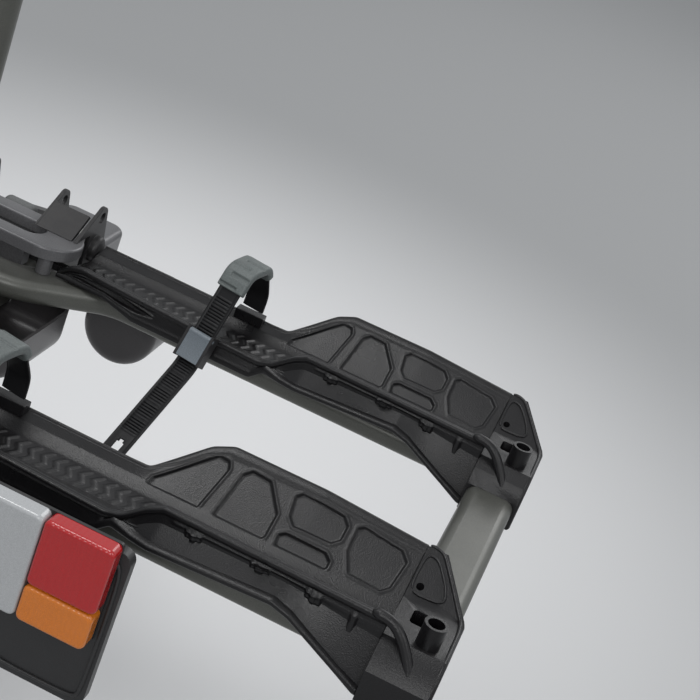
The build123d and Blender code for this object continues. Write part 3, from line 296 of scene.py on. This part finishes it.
def add_flutes(material, pitch):
    """Fine upright flutes inside a lens, one each pitch along x, as a second bump over its grain."""
    tree = material.node_tree
    point = add_node(tree, "ShaderNodeTexCoord")
    flutes = add_node(tree, "ShaderNodeTexWave", {"Scale": WAVE_LENGTH / pitch}, bands_direction="X")
    relief = add_node(tree, "ShaderNodeBump", {"Strength": FLUTE_STRENGTH, "Distance": FLUTE_RELIEF})
    tree.links.new(point.outputs["Object"], flutes.inputs["Vector"])
    tree.links.new(flutes.outputs["Fac"], relief.inputs["Height"])
    tree.links.new(tree.nodes["Bump"].outputs["Normal"], relief.inputs["Normal"])
    tree.links.new(relief.outputs["Normal"], tree.nodes["Principled BSDF"].inputs["Normal"])


# Each finish: color, roughness, grain scale, drift, roughness spread, bump, and what else it has
FINISH_ROWS = {
    "frame_paint": (
        (0.102, 0.104, 0.093), 0.4, 1500, 0.07, 0.05, 0.08, dict(metallic=0.3, coat=0.2, dust=0.12),
    ),
    "tray_plastic": ((0.006, 0.0056, 0.0064), 0.31, 1000, 0.25, 0.06, 0.6, dict(specular=0.42, dust=0.03)),
    "dark_plastic": ((0.05, 0.047, 0.049), 0.32, 1400, 0.12, 0.05, 0.15, {}),
    "black_steel": ((0.018, 0.017, 0.018), 0.44, 1200, 0.15, 0.06, 0.1, {}),
    "cast_alloy": ((0.135, 0.134, 0.14), 0.36, 800, 0.1, 0.06, 0.2, dict(metallic=0.3, coat=0.1)),
    "arm_alloy": ((0.33, 0.33, 0.33), 0.34, 1200, 0.06, 0.05, 0.1, dict(metallic=0.85)),
    "zinc_steel": ((0.42, 0.42, 0.4), 0.36, 900, 0.15, 0.1, 0.15, dict(metallic=0.95)),
    "grip_rubber": ((0.13, 0.135, 0.135), 0.62, 700, 0.1, 0.05, 0.3, {}),
    "jaw_rubber": ((0.022, 0.022, 0.023), 0.66, 600, 0.1, 0.05, 0.35, {}),
    "pad_rubber": ((0.125, 0.142, 0.14), 0.48, 700, 0.12, 0.05, 0.3, dict(dust=0.15)),
    "strap_plastic": ((0.008, 0.008, 0.009), 0.48, 900, 0.15, 0.06, 0.12, dict(specular=0.3, dust=0.02)),
    "cap_plastic": ((0.165, 0.19, 0.214), 0.33, 1100, 0.06, 0.04, 0.1, {}),
    "board_plastic": ((0.022, 0.022, 0.023), 0.4, 1000, 0.15, 0.06, 0.35, {}),
    "red_lens": ((0.42, 0.006, 0.008), 0.14, 2500, 0.02, 0.02, 0.02, dict(coat=0.6, dust=0)),
    "amber_lens": ((0.62, 0.17, 0.01), 0.14, 2500, 0.02, 0.02, 0.02, dict(coat=0.6, dust=0)),
    "clear_lens": ((0.42, 0.43, 0.44), 0.14, 2500, 0.02, 0.02, 0.02, dict(coat=0.6, dust=0)),
}
FLUTE_PITCHES = {"red_lens": 0.004, "amber_lens": 0.004, "clear_lens": 0.006}
FINISHES = {name: grained(name, *row[:-1], **row[-1]) for name, row in FINISH_ROWS.items()}
for name, pitch in FLUTE_PITCHES.items():
    add_flutes(FINISHES[name], pitch)
for name, obj in nodes.items():
    obj.data.materials.clear()
    obj.data.materials.append(FINISHES[slots[name]])


# Surfaces from whole arrays
def smooth(values, passes, axis=0, closed=False):
    """Running mean with weights one, two, one along one axis, repeated; open ends stay where they are."""
    for _ in range(passes):
        if closed:
            values = (np.roll(values, 1, axis) + 2 * values + np.roll(values, -1, axis)) / 4
        else:
            width = [(0, 0)] * values.ndim
            width[axis] = (1, 1)
            wide = np.pad(values, width, mode="edge")
            count = values.shape[axis]
            first, last = np.take(wide, range(0, count), axis), np.take(wide, range(2, count + 2), axis)
            values = (first + 2 * values + last) / 4
    return values


def step(value, low, high):
    """Smooth step: 0 at low, 1 at high, three t squared less two t cubed between."""
    t = np.clip((value - low) / (high - low), 0, 1)
    return t * t * (3 - 2 * t)


def window(value, low, high, soft):
    """1 between low and high, 0 outside, with smooth steps of the soft length just inside both."""
    return step(value, low, low + soft) * (1 - step(value, high - soft, high))


def outline_distance(px, py, corners):
    """Distance to a closed outline, below zero inside it: nearest side, sign from crossing count."""
    best = np.full(np.shape(px), np.inf)
    inside = np.zeros(np.shape(px), bool)
    for (ax, ay), (bx, by) in zip(corners, corners[1:] + corners[:1]):
        ex, ey = bx - ax, by - ay
        share = np.clip(((px - ax) * ex + (py - ay) * ey) / (ex * ex + ey * ey), 0, 1)
        best = np.minimum(best, np.hypot(px - ax - share * ex, py - ay - share * ey))
        if ey:
            crosses = (ay > py) != (by > py)
            inside ^= crosses & (px < ax + (py - ay) * ex / ey)
    return np.where(inside, -best, best)


def spread_points(controls, counts):
    """Points along straight runs: controls has shape (runs + 1, ..., 2), counts gives points on each run."""
    rows = []
    for low, high, count in zip(controls[:-1], controls[1:], counts):
        share = (np.arange(count) / count).reshape((-1,) + (1,) * (controls.ndim - 1))
        rows.append(low + (high - low) * share)
    return np.concatenate(rows)


def put_mesh(name, points, faces, finish, replaced=()):
    """Mesh object on the platform, in metres from millimetre points, in place of the replaced nodes."""
    mesh = bpy.data.meshes.new(name)
    mesh.from_pydata((points.reshape(-1, 3) * MM).tolist(), [], faces)
    mesh.update()
    piece = add_object(name, mesh)
    mesh.materials.append(FINISHES[finish])
    mesh.shade_smooth()
    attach(piece, "platform")
    if replaced:
        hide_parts(*replaced)
    return piece


def ring_faces(rings):
    """Quads between successive closed rings with shape (ring, point, 3), with a lid on each end ring,
    turned outwards by the sign of the volume inside, quads split in two."""
    index = np.arange(rings.shape[0] * rings.shape[1]).reshape(rings.shape[:2])
    turned = np.roll(index, -1, 1)
    quads = np.stack([index[:-1], index[1:], turned[1:], turned[:-1]], -1).reshape(-1, 4)
    lids = np.stack([index[0], index[-1][::-1]])
    centred = rings - rings.mean((0, 1))
    a, b = centred[:-1], centred[1:]
    c, d = np.roll(b, -1, 1), np.roll(a, -1, 1)
    if (np.cross(a, b) * c).sum() + (np.cross(a, c) * d).sum() < 0:
        quads, lids = quads[:, ::-1], lids[:, ::-1]
    return quads.tolist() + lids.tolist()


def path_frame(run):
    """Unit direction along a run of points in a plane, turned a quarter to the run's outer side."""
    along = np.gradient(run, axis=0)
    along /= np.linalg.norm(along, axis=1, keepdims=True)
    return np.stack([along[:, 1], -along[:, 0]], -1)


# Trays, in millimetres from the middle of a row: x outwards, y towards the car, z up
TRAY_IN = 79
TRAY_OUT = 499.28
TRAY_RINGS = 420
# The inner end leans: so much further out for each millimetre of y, from this y on
END_LEAN, END_LEAN_FROM = 0.17, 37
LIP_Z = ([79, 90, 101, 132, 252, 284, 297, 313, 325, 499], [93, 102, 105, 103, 98, 97, 101, 115, 121.5, 120])
SKIRT_Z = (
    [79, 128, 160, 280, 292, 310, 421, 436, 480, 497, 499],
    [86.5, 86.5, 77, 77, 88, 88, 95, 91, 69, 60, 60],
)
SKIRT_Y = ([79, 287, 324, 499], [-37, -37, -47, -49.5])
RIDGE_Z = ([79, 128, 160, 280, 292, 310, 421, 436, 480, 499], [89, 89, 82, 82, 94, 93, 100, 96, 74, 66])
WING_Y = ([79, 262, 280, 313, 329, 499], [40, 38, 37, 63, 69, 69.5])
WING_Z = ([79, 262, 280, 313, 329, 410, 499], [101, 101, 102, 126.5, 131.5, 132, 127])
WING_FOOT = (26, 97)
# Width of the wing's rim at the inner end, and how much wider it gets between two x
RIM_WIDTH, RIM_GROWTH, RIM_GROWS_AT = 2.0, 4.5, (280, 300)
SKIRT_WALL = 3.2
SECTION_PASSES = 3
WING_PANELS = [
    [(291, 23), (293, 31), (329, 61), (338, 60), (341, 55), (334, 25), (328, 21)],
    [(346, 26), (351, 56), (357, 61), (373, 60), (389, 43), (389, 27), (384, 22), (350, 22)],
    [(397, 45), (394, 58), (399, 62), (434, 61), (440, 56), (440, 46), (434, 41), (403, 40)],
    [(397, 26), (396, 32), (401, 35), (434, 35), (440, 31), (440, 26), (434, 22), (401, 22)],
    [(447, 42), (446, 58), (451, 61), (484, 59), (491, 53), (488, 33), (482, 28), (455, 29)],
]
PANEL_DEPTH, PANEL_EDGE = 2.0, (-0.2, 1.4)
# The panel's raised border: its height, its distance outside the panel's outline and its half width
BORDER_HEIGHT, BORDER_OUT, BORDER_HALF = 0.7, 0.6, 1.5
# Groove: ribs between two x, folded to and fro across it as chevrons, and the screws' flat places
RIBS_FROM, RIBS_TO, RIBS_FADE = 96, 310, 4
RIBS_HALF, RIBS_SIDE_FADE = 14, 1.5
RIB_PITCH, RIB_FOLD, RIB_FOLD_WIDTH = 10.5, 5.0, 9.3
RIB_HEIGHT, RIB_BASE, RIB_FLANK = 0.9, 0.3, (0.5, 0.72)
SCREWS_X, SCREW_FLAT = (150, 400), (6, 7)
# Near face: it starts above the ridge and ends below the lip. Levels run from 0 at its foot to 1 at its top
FACE_FOOT, FACE_TOP, FACE_LEAST = 2.5, 6, 4
LEAF_FROM, LEAF_LENGTH, LEAF_DEPTH, LEAF_FULLNESS = 83, 96, 4.2, 0.6
LEAF_LEVEL, LEAF_HALF, LEAF_FLANK = 0.5, 0.4, 0.24
LEAF_BORDER_HEIGHT, LEAF_BORDER_STARTS, LEAF_BORDER_OUT, LEAF_BORDER_HALF = 1.2, (0.05, 0.3), 0.05, 0.1
RIM_BUMPS, BUMP_FLANK = ((344, 358), (395, 411), (438, 452)), 1.5
BUMP_HEIGHT, BUMP_LEVELS = 3.2, (0.5, 0.62)
BUMP_FOOT_HEIGHT, BUMP_FOOT_LEVELS, BUMP_FOOT_IN = 1.8, (0.28, 0.4), 4
FLANGE_HEIGHT, FLANGE_LEVELS, FLANGE_STARTS_AT = 1.3, (0.78, 0.84), (330, 336)
FOOT_LINE_HEIGHT, FOOT_LINE_LEVEL, FOOT_LINE_HALF, FOOT_LINE_STARTS_AT = 1.4, 0.12, 0.07, (286, 300)
UPRIGHT_HEIGHT, UPRIGHT_FROM, UPRIGHT_TO, UPRIGHT_FLANK = 2.2, 473, 480, 2
# Numbers of the section's runs that carry relief
FACE_RUN, GROOVE_RUN, WING_RUN = 2, 12, 15


def tray_section(x):
    """Heights of the ridge and of the lip at each x, and the corners of the closed section there, each with
    the number of points on the run that it starts."""

    def row(table, passes):
        return smooth(np.interp(x, *table), passes)

    lip, low, out = row(LIP_Z, 5), row(SKIRT_Z, 3), row(SKIRT_Y, 5)
    far_y, far_z = row(WING_Y, 8), row(WING_Z, 8)
    ridge = np.interp(x, *RIDGE_Z)
    slope = (far_z - WING_FOOT[1]) / (far_y - WING_FOOT[0])
    rim = RIM_GROWTH * step(x, *RIM_GROWS_AT) + RIM_WIDTH
    return ridge, lip, [
        # skirt, and the face above it
        (out, low, 6),
        (out, ridge, 4),
        (-36.0, ridge + FACE_FOOT, 16),
        # near lip, rolled outwards
        (-34.0, lip - FACE_TOP, 3),
        (-36.4, lip - 4.5, 3),
        (-36.6, lip - 0.6, 2),
        (-35.0, lip + 0.6, 2),
        (-33.4, lip - 0.3, 2),
        (-32.6, lip - 0.3, 2),
        (-31.0, lip + 0.6, 2),
        (-29.0, lip - 0.8, 8),
        # groove
        (-20.5, 93.4, 5),
        (-15.0, 90.3, 26),
        (15.0, 90.3, 5),
        (20.5, 93.4, 5),
        # wing and its rolled rim
        (*WING_FOOT, 46),
        (far_y - rim, far_z - rim * slope - 0.4, 3),
        (far_y - rim + 0.8, far_z - (rim - 0.8) * slope + 1.2, 4),
        (far_y + 0.5, far_z + 0.8, 3),
        (far_y + 3.0, far_z - 0.6, 4),
        (far_y + 3.0, far_z - 6, 2),
        (far_y + 0.6, far_z - 6, 8),
        # underside, back to the skirt
        (28.6, 93.8, 5),
        (21.5, 89.6, 4),
        (14.0, 86.0, 8),
        (-14.0, 86.0, 4),
        (-21.5, 89.6, 6),
        (-30.5, lip - 5, 3),
        (-31.0, lip - 7, 8),
        (out + SKIRT_WALL, ridge - 1.5, 5),
        (out + SKIRT_WALL, low, 2),
    ]


def tray_relief(px, y, z, only, ridge, lip):
    """How far each point of the section is pushed outwards: sunk panels with a border in the wing, chevron
    ribs in the groove, and on the near face a scooped leaf with a border, bumps, lines and an upright rib.
    Each is its height times smooth steps of x, y, or the level on the face."""
    wing, groove, face = only(WING_RUN), only(GROOVE_RUN), only(FACE_RUN)
    push = np.zeros_like(y)
    for panel in WING_PANELS:
        distance = outline_distance(px, y, panel)
        border = step(-np.abs(distance - BORDER_OUT), -BORDER_HALF, 0)
        push -= wing * (PANEL_DEPTH * step(-distance, *PANEL_EDGE) - BORDER_HEIGHT * border)
    fold = np.abs(((y + RIBS_HALF) / RIB_FOLD_WIDTH) % 2 - 1) * RIB_FOLD
    comb = np.abs(((px + fold) / RIB_PITCH) % 1 * 2 - 1)
    ribbed = window(px, RIBS_FROM, RIBS_TO, RIBS_FADE)
    ribbed = ribbed * (1 - step(np.abs(y), RIBS_HALF - RIBS_SIDE_FADE, RIBS_HALF))
    push += groove * ribbed * (step(comb, *RIB_FLANK) * RIB_HEIGHT - RIB_BASE)
    for screw_x in SCREWS_X:
        push *= step(np.hypot(px - screw_x, y), *SCREW_FLAT) * groove + (1 - groove)
    foot_z = ridge + FACE_FOOT
    level = (z - foot_z) / np.maximum(lip - FACE_TOP - foot_z, FACE_LEAST)
    leaf = np.sin(np.pi * np.clip((px - LEAF_FROM) / LEAF_LENGTH, 0, 1)) ** LEAF_FULLNESS
    edge = np.abs(level - LEAF_LEVEL) - LEAF_HALF * leaf
    push -= face * LEAF_DEPTH * leaf * step(-edge, 0, LEAF_FLANK)
    border = step(-np.abs(edge - LEAF_BORDER_OUT), -LEAF_BORDER_HALF, 0)
    push += face * LEAF_BORDER_HEIGHT * step(leaf, *LEAF_BORDER_STARTS) * border
    for start, end in RIM_BUMPS:
        push += face * window(px, start, end, BUMP_FLANK) * BUMP_HEIGHT * step(level, *BUMP_LEVELS)
        foot = window(px, start + BUMP_FOOT_IN, end - BUMP_FOOT_IN, BUMP_FLANK)
        push += face * foot * BUMP_FOOT_HEIGHT * step(level, *BUMP_FOOT_LEVELS)
    push += face * FLANGE_HEIGHT * step(level, *FLANGE_LEVELS) * step(px, *FLANGE_STARTS_AT)
    line = step(-np.abs(level - FOOT_LINE_LEVEL), -FOOT_LINE_HALF, 0)
    push += face * FOOT_LINE_HEIGHT * line * step(px, *FOOT_LINE_STARTS_AT)
    push += face * UPRIGHT_HEIGHT * window(px, UPRIGHT_FROM, UPRIGHT_TO, UPRIGHT_FLANK)
    return push


def tray_rings():
    """One right-hand tray in row coordinates: the section's corners follow tables along x, are spread over
    straight runs, rounded by a running mean, and pushed along the section's normal by the relief. Rings
    run along x; the inner end leans with y."""
    share = np.linspace(0, 1, TRAY_RINGS)
    x = TRAY_IN + share * (TRAY_OUT - TRAY_IN)
    ridge, lip, corners = tray_section(x)
    runs = [count for _, _, count in corners]
    controls = np.array([[y + 0 * x, z + 0 * x] for y, z, _ in corners + corners[:1]])
    section = smooth(spread_points(controls.transpose(0, 2, 1), runs), SECTION_PASSES, 0, True)
    along = np.roll(section, -1, 0) - np.roll(section, 1, 0)
    normal = np.stack([-along[..., 1], along[..., 0]], -1)
    normal /= np.linalg.norm(normal, axis=-1, keepdims=True)
    starts = np.cumsum([0] + runs)
    y, z = section[..., 0], section[..., 1]

    def only(run):
        mask = np.zeros_like(y)
        mask[starts[run] : starts[run + 1]] = 1
        return mask

    lean = TRAY_IN + (y + END_LEAN_FROM) * END_LEAN
    px = lean + share * (TRAY_OUT - lean)
    section = section + normal * tray_relief(px, y, z, only, ridge, lip)[..., None]
    return np.stack([px, section[..., 0], section[..., 1]], -1).transpose(1, 0, 2)


def add_trays():
    """Four trays: the right-hand one, mirrored for the left and moved along y for each row."""
    tray = tray_rings()
    for row_name, row_y in ROWS:
        for side_name, side in SIDES:
            rings = tray * (side, 1, 1) + (0, row_y, 0)
            name = f"{row_name}_{side_name}_tray"
            put_mesh(f"{name}_moulding", rings, ring_faces(rings), "tray_plastic", [name])


add_trays()


# Straps and pads, in millimetres in the strap's plane: u towards the car, v up, w across the strap
TURN = math.radians(12)
STRAP_LINE = [(34, 107), (34, 128), (14, 162), (-16, 160), (-43, 108), (-60, 72)]
# Each row: x where the strap is at its buckle, y of the row, and the tail's end
STRAP_PLACES = {"front": (229, -215, (-150, -2)), "rear": (150, -545, (-70, 10))}
BUCKLE_U = -55
CORNER_ROUNDING = 5
STRAP_PITCH, STRAP_HALF, STRAP_WALL = 0.72, 11, 2.2
# Lines along the strap, as shares of its half width
STRAP_COLUMNS = np.array(
    [-1, -0.93, -0.82, -0.78, -0.72, -0.4, -0.37, -0.2, 0, 0.2, 0.37, 0.4, 0.72, 0.78, 0.82, 0.93, 1]
)
# The tail narrows by this share of its half width over its last millimetres, along a power curve
TAIL_ROUNDING, TAIL_NARROWING, TAIL_POWER = 9, 0.75, 2.5
TOOTH_PITCH, TOOTH_LIFT, TOOTH_FLANK = 3.0, 0.75, (0.35, 0.6)
MARGIN_LIFT, MARGIN_FROM, TEETH_UP_TO = 0.35, 0.8, 0.74
# Teeth start this far along the strap, end this far from the tail's end, and fade over a tooth's pitch
TEETH_FROM, TEETH_END, TEETH_FADE = 118, 34, 3
# The tail's hole: measured from the tail's end, with its half width below and above the shoulder
HOLE_FROM, HOLE_SHOULDER, HOLE_TO, HOLE_WIDE, HOLE_NARROW = 7, 25, 28, 0.37, 0.2
PAD_PITCH = 0.7
# Pad section: across the strap, above it, and the number of points on the run that each corner starts
PAD_SECTION = [
    (-14, -2.5, 6), (-14, 3.2, 2), (-12.6, 4.6, 40), (12.6, 4.6, 2),
    (14, 3.2, 6), (14, -2.5, 2), (12.5, -4, 20), (-12.5, -4, 2),
]
# The pad starts and ends this share of the way between two corners of the strap's line
PAD_REACH = 0.6
PAD_SLOTS, SLOT_DEPTH, SLOT_FLANK = 6, 2.0, (1.5, 2.5)
# A slot's closed end and the edge that it comes from, across the pad; only points above the top height move
SLOT_CLOSED, SLOT_OPEN, SLOT_ABOVE = (-6.5, -5.0), (12.4, 13.2), 3.5
# The pad swells as a square root over this length, from nearly these shares of its height and width
SWELL_LENGTH, SWELL_TIP, END_HEIGHT, END_WIDTH = 3.5, 0.02, 0.55, 0.9


def rounded_run(points, pitch):
    """Evenly spaced points along straight runs, corners rounded by a running mean of the rounding length."""
    points = np.array(points, float)
    lengths = np.concatenate([[0], np.cumsum(np.hypot(*np.diff(points, axis=0).T))])
    fine = np.linspace(0, lengths[-1], int(lengths[-1] / pitch) + 1)
    run = np.stack([np.interp(fine, lengths, points[:, k]) for k in (0, 1)], -1)
    return smooth(run, int(2 * (CORNER_ROUNDING / pitch) ** 2))


def place_strap(u, v, w, row_name, side):
    """From strap plane to part frame: u along the turned strap, v up, w across it, mirrored for the left."""
    buckle_x, row_y, _ = STRAP_PLACES[row_name]
    x = buckle_x + (u - BUCKLE_U) * math.sin(TURN) + w * math.cos(TURN)
    y = row_y + u * math.cos(TURN) - w * math.sin(TURN)
    return np.stack([side * x, y, v + 0 * x], -1)


def strap_sheet(row_name, side):
    """Ladder strap with rounded tail: a sheet along the run, teeth as a smooth wave of its length
    between two plain margins, and a long hole near the tail left out, narrower at its upper end."""
    run = rounded_run(STRAP_LINE + [STRAP_PLACES[row_name][2]], STRAP_PITCH)
    normal = path_frame(run)
    length = np.arange(len(run)) * STRAP_PITCH
    left = length[-1] - length
    w = STRAP_COLUMNS
    half = STRAP_HALF * (1 - np.clip(1 - left / TAIL_ROUNDING, 0, 1) ** TAIL_POWER * TAIL_NARROWING)
    tooth = step(np.abs((length / TOOTH_PITCH) % 1 * 2 - 1), *TOOTH_FLANK)
    toothed = step(length, TEETH_FROM, TEETH_FROM + TEETH_FADE)
    toothed *= step(left, TEETH_END, TEETH_END + TEETH_FADE)
    inner = step(-np.abs(w), -MARGIN_FROM, -TEETH_UP_TO)
    lift = TOOTH_LIFT * (tooth * toothed)[:, None] * inner + MARGIN_LIFT * (np.abs(w) > MARGIN_FROM)
    row_left = left[:-1, None]
    reach = np.where(row_left > HOLE_SHOULDER, HOLE_NARROW, HOLE_WIDE)
    hole = (row_left > HOLE_FROM) & (row_left < HOLE_TO) & (np.abs((w[:-1] + w[1:]) / 2) < reach)
    u = run[:, 0, None] + normal[:, 0, None] * lift
    v = run[:, 1, None] + normal[:, 1, None] * lift
    points = place_strap(u, v, half[:, None] * w, row_name, side)
    index = np.arange(points.shape[0] * len(w)).reshape(points.shape[0], len(w))
    quads = np.stack([index[:-1, :-1], index[1:, :-1], index[1:, 1:], index[:-1, 1:]], -1)[~hole]
    return points.reshape(-1, 3), quads if side > 0 else quads[:, ::-1]


def pad_rings(row_name, side):
    """Pad: a rounded band section carried along the top of the strap, its outer face cut by slots that
    come in turn from the left and the right edge, its ends swelling down to a soft edge."""
    foot, near, far, tail = (np.array(corner) for corner in STRAP_LINE[1:5])
    ends = foot * (1 - PAD_REACH) + near * PAD_REACH, far * PAD_REACH + tail * (1 - PAD_REACH)
    run = rounded_run([ends[0], near, far, ends[1]], PAD_PITCH)
    normal = path_frame(run)
    length = np.arange(len(run)) * PAD_PITCH
    total = length[-1]
    corners = np.array([(w, b) for w, b, _ in PAD_SECTION + PAD_SECTION[:1]], float)
    section = spread_points(corners, [count for _, _, count in PAD_SECTION])
    section = smooth(section, SECTION_PASSES, 0, True)
    w, b = section[:, 0], section[:, 1]
    cell = length / total * PAD_SLOTS
    place = np.abs(cell % 1 - 0.5) * total / PAD_SLOTS
    slot = 1 - step(place, *SLOT_FLANK)
    odd = np.where((cell.astype(int) % 2) == 0, 1, -1)
    across = w * odd[:, None]
    reach = step(across, *SLOT_CLOSED) * (1 - step(across, *SLOT_OPEN))
    cut = slot[:, None] * reach * (b > SLOT_ABOVE)
    swell = np.sqrt(np.clip(np.minimum(length, total - length) / SWELL_LENGTH, SWELL_TIP, 1))[:, None]
    high = np.where(b > 0, b * (END_HEIGHT + (1 - END_HEIGHT) * swell), b) - SLOT_DEPTH * cut
    u = run[:, 0, None] + normal[:, 0, None] * high
    v = run[:, 1, None] + normal[:, 1, None] * high
    return place_strap(u, v, w * (END_WIDTH + (1 - END_WIDTH) * swell), row_name, side)


def add_straps():
    """Four straps as one thickened sheet, and four pads on them."""
    sheets, faces, pads, pad_faces, count, pad_count = [], [], [], [], 0, 0
    for row_name in STRAP_PLACES:
        for _, side in SIDES:
            points, quads = strap_sheet(row_name, side)
            sheets.append(points)
            faces += (quads + count).tolist()
            count += len(points)
            rings = pad_rings(row_name, side)
            pads.append(rings.reshape(-1, 3))
            pad_faces += [[k + pad_count for k in face] for face in ring_faces(rings)]
            pad_count += len(pads[-1])
    straps = put_mesh("ladder_strap_bands", np.concatenate(sheets), faces, "strap_plastic", ["ladder_straps"])
    wall = straps.modifiers.new("wall", "SOLIDIFY")
    wall.thickness = STRAP_WALL * MM
    wall.offset = 0
    put_mesh("rim_pad_sleeves", np.concatenate(pads), pad_faces, "pad_rubber", ["rim_pads"])


add_straps()


# Carried-over pieces with softened edges
DOUBLES_WITHIN = 1e-6
FLAT_UP_TO = math.radians(1)
SHARP_FROM = math.radians(32)
ROUNDED_FROM = math.radians(34)
EDGE_SEGMENTS = 2
# Width of the rounded edges in millimetres
SOFT_EDGES = {
    "front_right_corner": 1.2, "front_left_corner": 1.2, "rear_right_corner": 1.2, "rear_left_corner": 1.2,
    "bridge_casting": 0.8, "right_ear_bracket": 0.5, "left_ear_bracket": 0.5, "head_bracket": 0.6,
    "coupler_body": 0.8, "coupler_lever": 0.6, "light_board": 0.7, "board_stays": 0.5, "tilt_pedal": 0.7,
    "mast_socket": 0.8, "front_arm": 0.5, "rear_arm": 0.5, "front_lower_jaw": 0.7, "rear_lower_jaw": 0.7,
    "front_upper_jaw": 0.7, "rear_upper_jaw": 0.7, "strap_anchors": 0.6, "buckle_frames": 0.35,
    "hinge_cheeks": 0.6, "belly_cover": 0.6, "right_round_cover": 0.6, "left_round_cover": 0.6,
    "spine_beam": 0.5, "front_jaw_knob": 0.5, "rear_jaw_knob": 0.5, "mast_knob": 0.5, "latch_hook": 0.4,
    "front_right_buckle_lever": 0.5, "front_left_buckle_lever": 0.5,
    "rear_right_buckle_lever": 0.5, "rear_left_buckle_lever": 0.5,
}


def soften_edges(node, width):
    """The node's own shape with its doubles merged and every hard edge rounded to the width."""
    mesh = nodes[node].data.copy()
    mesh.name = f"{node}_softened"
    piece = add_object(f"{node}_softened", mesh)
    work = bmesh.new()
    work.from_mesh(mesh)
    bmesh.ops.remove_doubles(work, verts=work.verts, dist=DOUBLES_WITHIN)
    bmesh.ops.dissolve_limit(work, angle_limit=FLAT_UP_TO, verts=work.verts, edges=work.edges)
    work.to_mesh(mesh)
    work.free()
    mesh.shade_smooth()
    mesh.set_sharp_from_angle(angle=SHARP_FROM)
    edge = piece.modifiers.new("edge", "BEVEL")
    edge.width = width * MM
    edge.segments = EDGE_SEGMENTS
    edge.limit_method = "ANGLE"
    edge.angle_limit = ROUNDED_FROM
    edge.use_clamp_overlap = True
    edge.harden_normals = True
    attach(piece, body_of[node])
    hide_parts(node)


for node, width in SOFT_EDGES.items():
    soften_edges(node, width)


# Moulded beads, in millimetres
BEAD_SIDES = 14
BEAD_STEPS = 12
BEAD_PASSES = 30
# Over so many points at each end the bead thins, down to this share of its section's area
BEAD_TAPER, BEAD_TIP = 8, 0.03
# A direction that no bead runs along, to measure the section's turn from
BEAD_ACROSS = (0.3, 1.0, 0.1)
# Corner: the lip's rounded end, the far panel's border in x and y on its slope, and the outer rim
CURL = [
    (484, -34.6, 120.2), (497, -34.8, 120.2), (505, -36, 118.5), (513, -38, 112), (520, -40, 103),
    (526, -42.5, 94), (529, -45, 87),
]
PANEL_OUTLINE = [
    (503, 33), (500.5, 38), (501, 60), (504, 64), (512, 62), (524, 46), (528, 36), (524, 32), (506, 31),
]
PANEL_FOOT_Y, PANEL_FOOT_Z, PANEL_SLOPE = 26, 105.2, 0.5
BORDER = [
    (x, y, PANEL_FOOT_Z + (y - PANEL_FOOT_Y) * PANEL_SLOPE) for x, y in PANEL_OUTLINE + PANEL_OUTLINE[:1]
]
RIM = [
    (499, 71.5, 127.2), (507, 71.5, 127.2), (513, 69, 126.2), (520, 60, 122), (530, 46.5, 115.2),
    (539, 34, 109), (545, 26, 105.2), (546.5, 12, 104.2), (546.5, -6, 103.6), (546.5, -31, 105.2),
    (546.5, -42.5, 98), (546.5, -50.5, 85),
]
CORNER_BEADS = (("curl", CURL, 4.2), ("border", BORDER, 1.1), ("rim", RIM, 1.6))
# Light board's rear face: the rim's outline in x and z, and the ribs' places and heights
BOARD_OUTLINE = [
    (-318, 108), (318, 108), (326, 100), (326, -8), (322, -14), (256, -14),
    (250, -6), (-250, -6), (-256, -14), (-322, -14), (-326, -8), (-326, 100),
]
BOARD_RIM_Y, BOARD_RIM_RADIUS = -640.5, 1.5
BOARD_RIB_Y, BOARD_RIB_RADIUS, BOARD_RIB_HEIGHTS = -640.3, 0.9, (4, 40, 70, 102)
BOARD_RIBS, FIRST_RIB_X, RIB_STEP_X = 5, 203.5, 3.6


def bead(path, radius):
    """Round bead carried along a path: a circle in the plane across it, thinning over the first and last
    points."""
    path = np.array(path, float)
    steps = np.linspace(0, len(path) - 1, BEAD_STEPS * len(path))
    run = np.stack([np.interp(steps, range(len(path)), path[:, k]) for k in range(3)], -1)
    run = smooth(run, BEAD_PASSES)
    along = np.gradient(run, axis=0)
    along /= np.linalg.norm(along, axis=1, keepdims=True)
    across = np.cross(along, BEAD_ACROSS)
    across /= np.linalg.norm(across, axis=1, keepdims=True)
    up = np.cross(along, across)
    turn = np.linspace(0, 2 * np.pi, BEAD_SIDES, endpoint=False)
    ends = np.minimum(np.arange(len(run)), np.arange(len(run))[::-1]) / BEAD_TAPER
    size = radius * np.sqrt(np.clip(ends, BEAD_TIP, 1))[:, None, None]
    ring = np.cos(turn)[None, :, None] * across[:, None] + np.sin(turn)[None, :, None] * up[:, None]
    return run[:, None] + size * ring


def add_corner_beads():
    """On each corner: the lip's rounded end curling down, a raised border round the far panel, and a rim
    along the outer edge."""
    for row_name, row_y in ROWS:
        for side_name, side in SIDES:
            for label, path, radius in CORNER_BEADS:
                rings = bead(path, radius) * (side, 1, 1) + (0, row_y, 0)
                name = f"{row_name}_{side_name}_corner_{label}"
                put_mesh(name, rings, ring_faces(rings), "tray_plastic")


def add_board_beads():
    """Light board: a raised bead just inside the edge of its rear face, and five upright ribs' beads between
    the number plate and the lamps on each side."""
    loop = [(x, BOARD_RIM_Y, z) for x, z in BOARD_OUTLINE + BOARD_OUTLINE[:1]]
    paths = [("rim", loop, BOARD_RIM_RADIUS)]
    for side_name, side in reversed(SIDES):
        for count in range(BOARD_RIBS):
            x = side * (FIRST_RIB_X + RIB_STEP_X * count)
            line = [(x, BOARD_RIB_Y, z) for z in BOARD_RIB_HEIGHTS]
            paths.append((f"rib_{side_name}_{count}", line, BOARD_RIB_RADIUS))
    for label, path, radius in paths:
        rings = bead(path, radius)
        put_mesh(f"light_board_{label}", rings, ring_faces(rings), "board_plastic")


add_corner_beads()
add_board_beads()
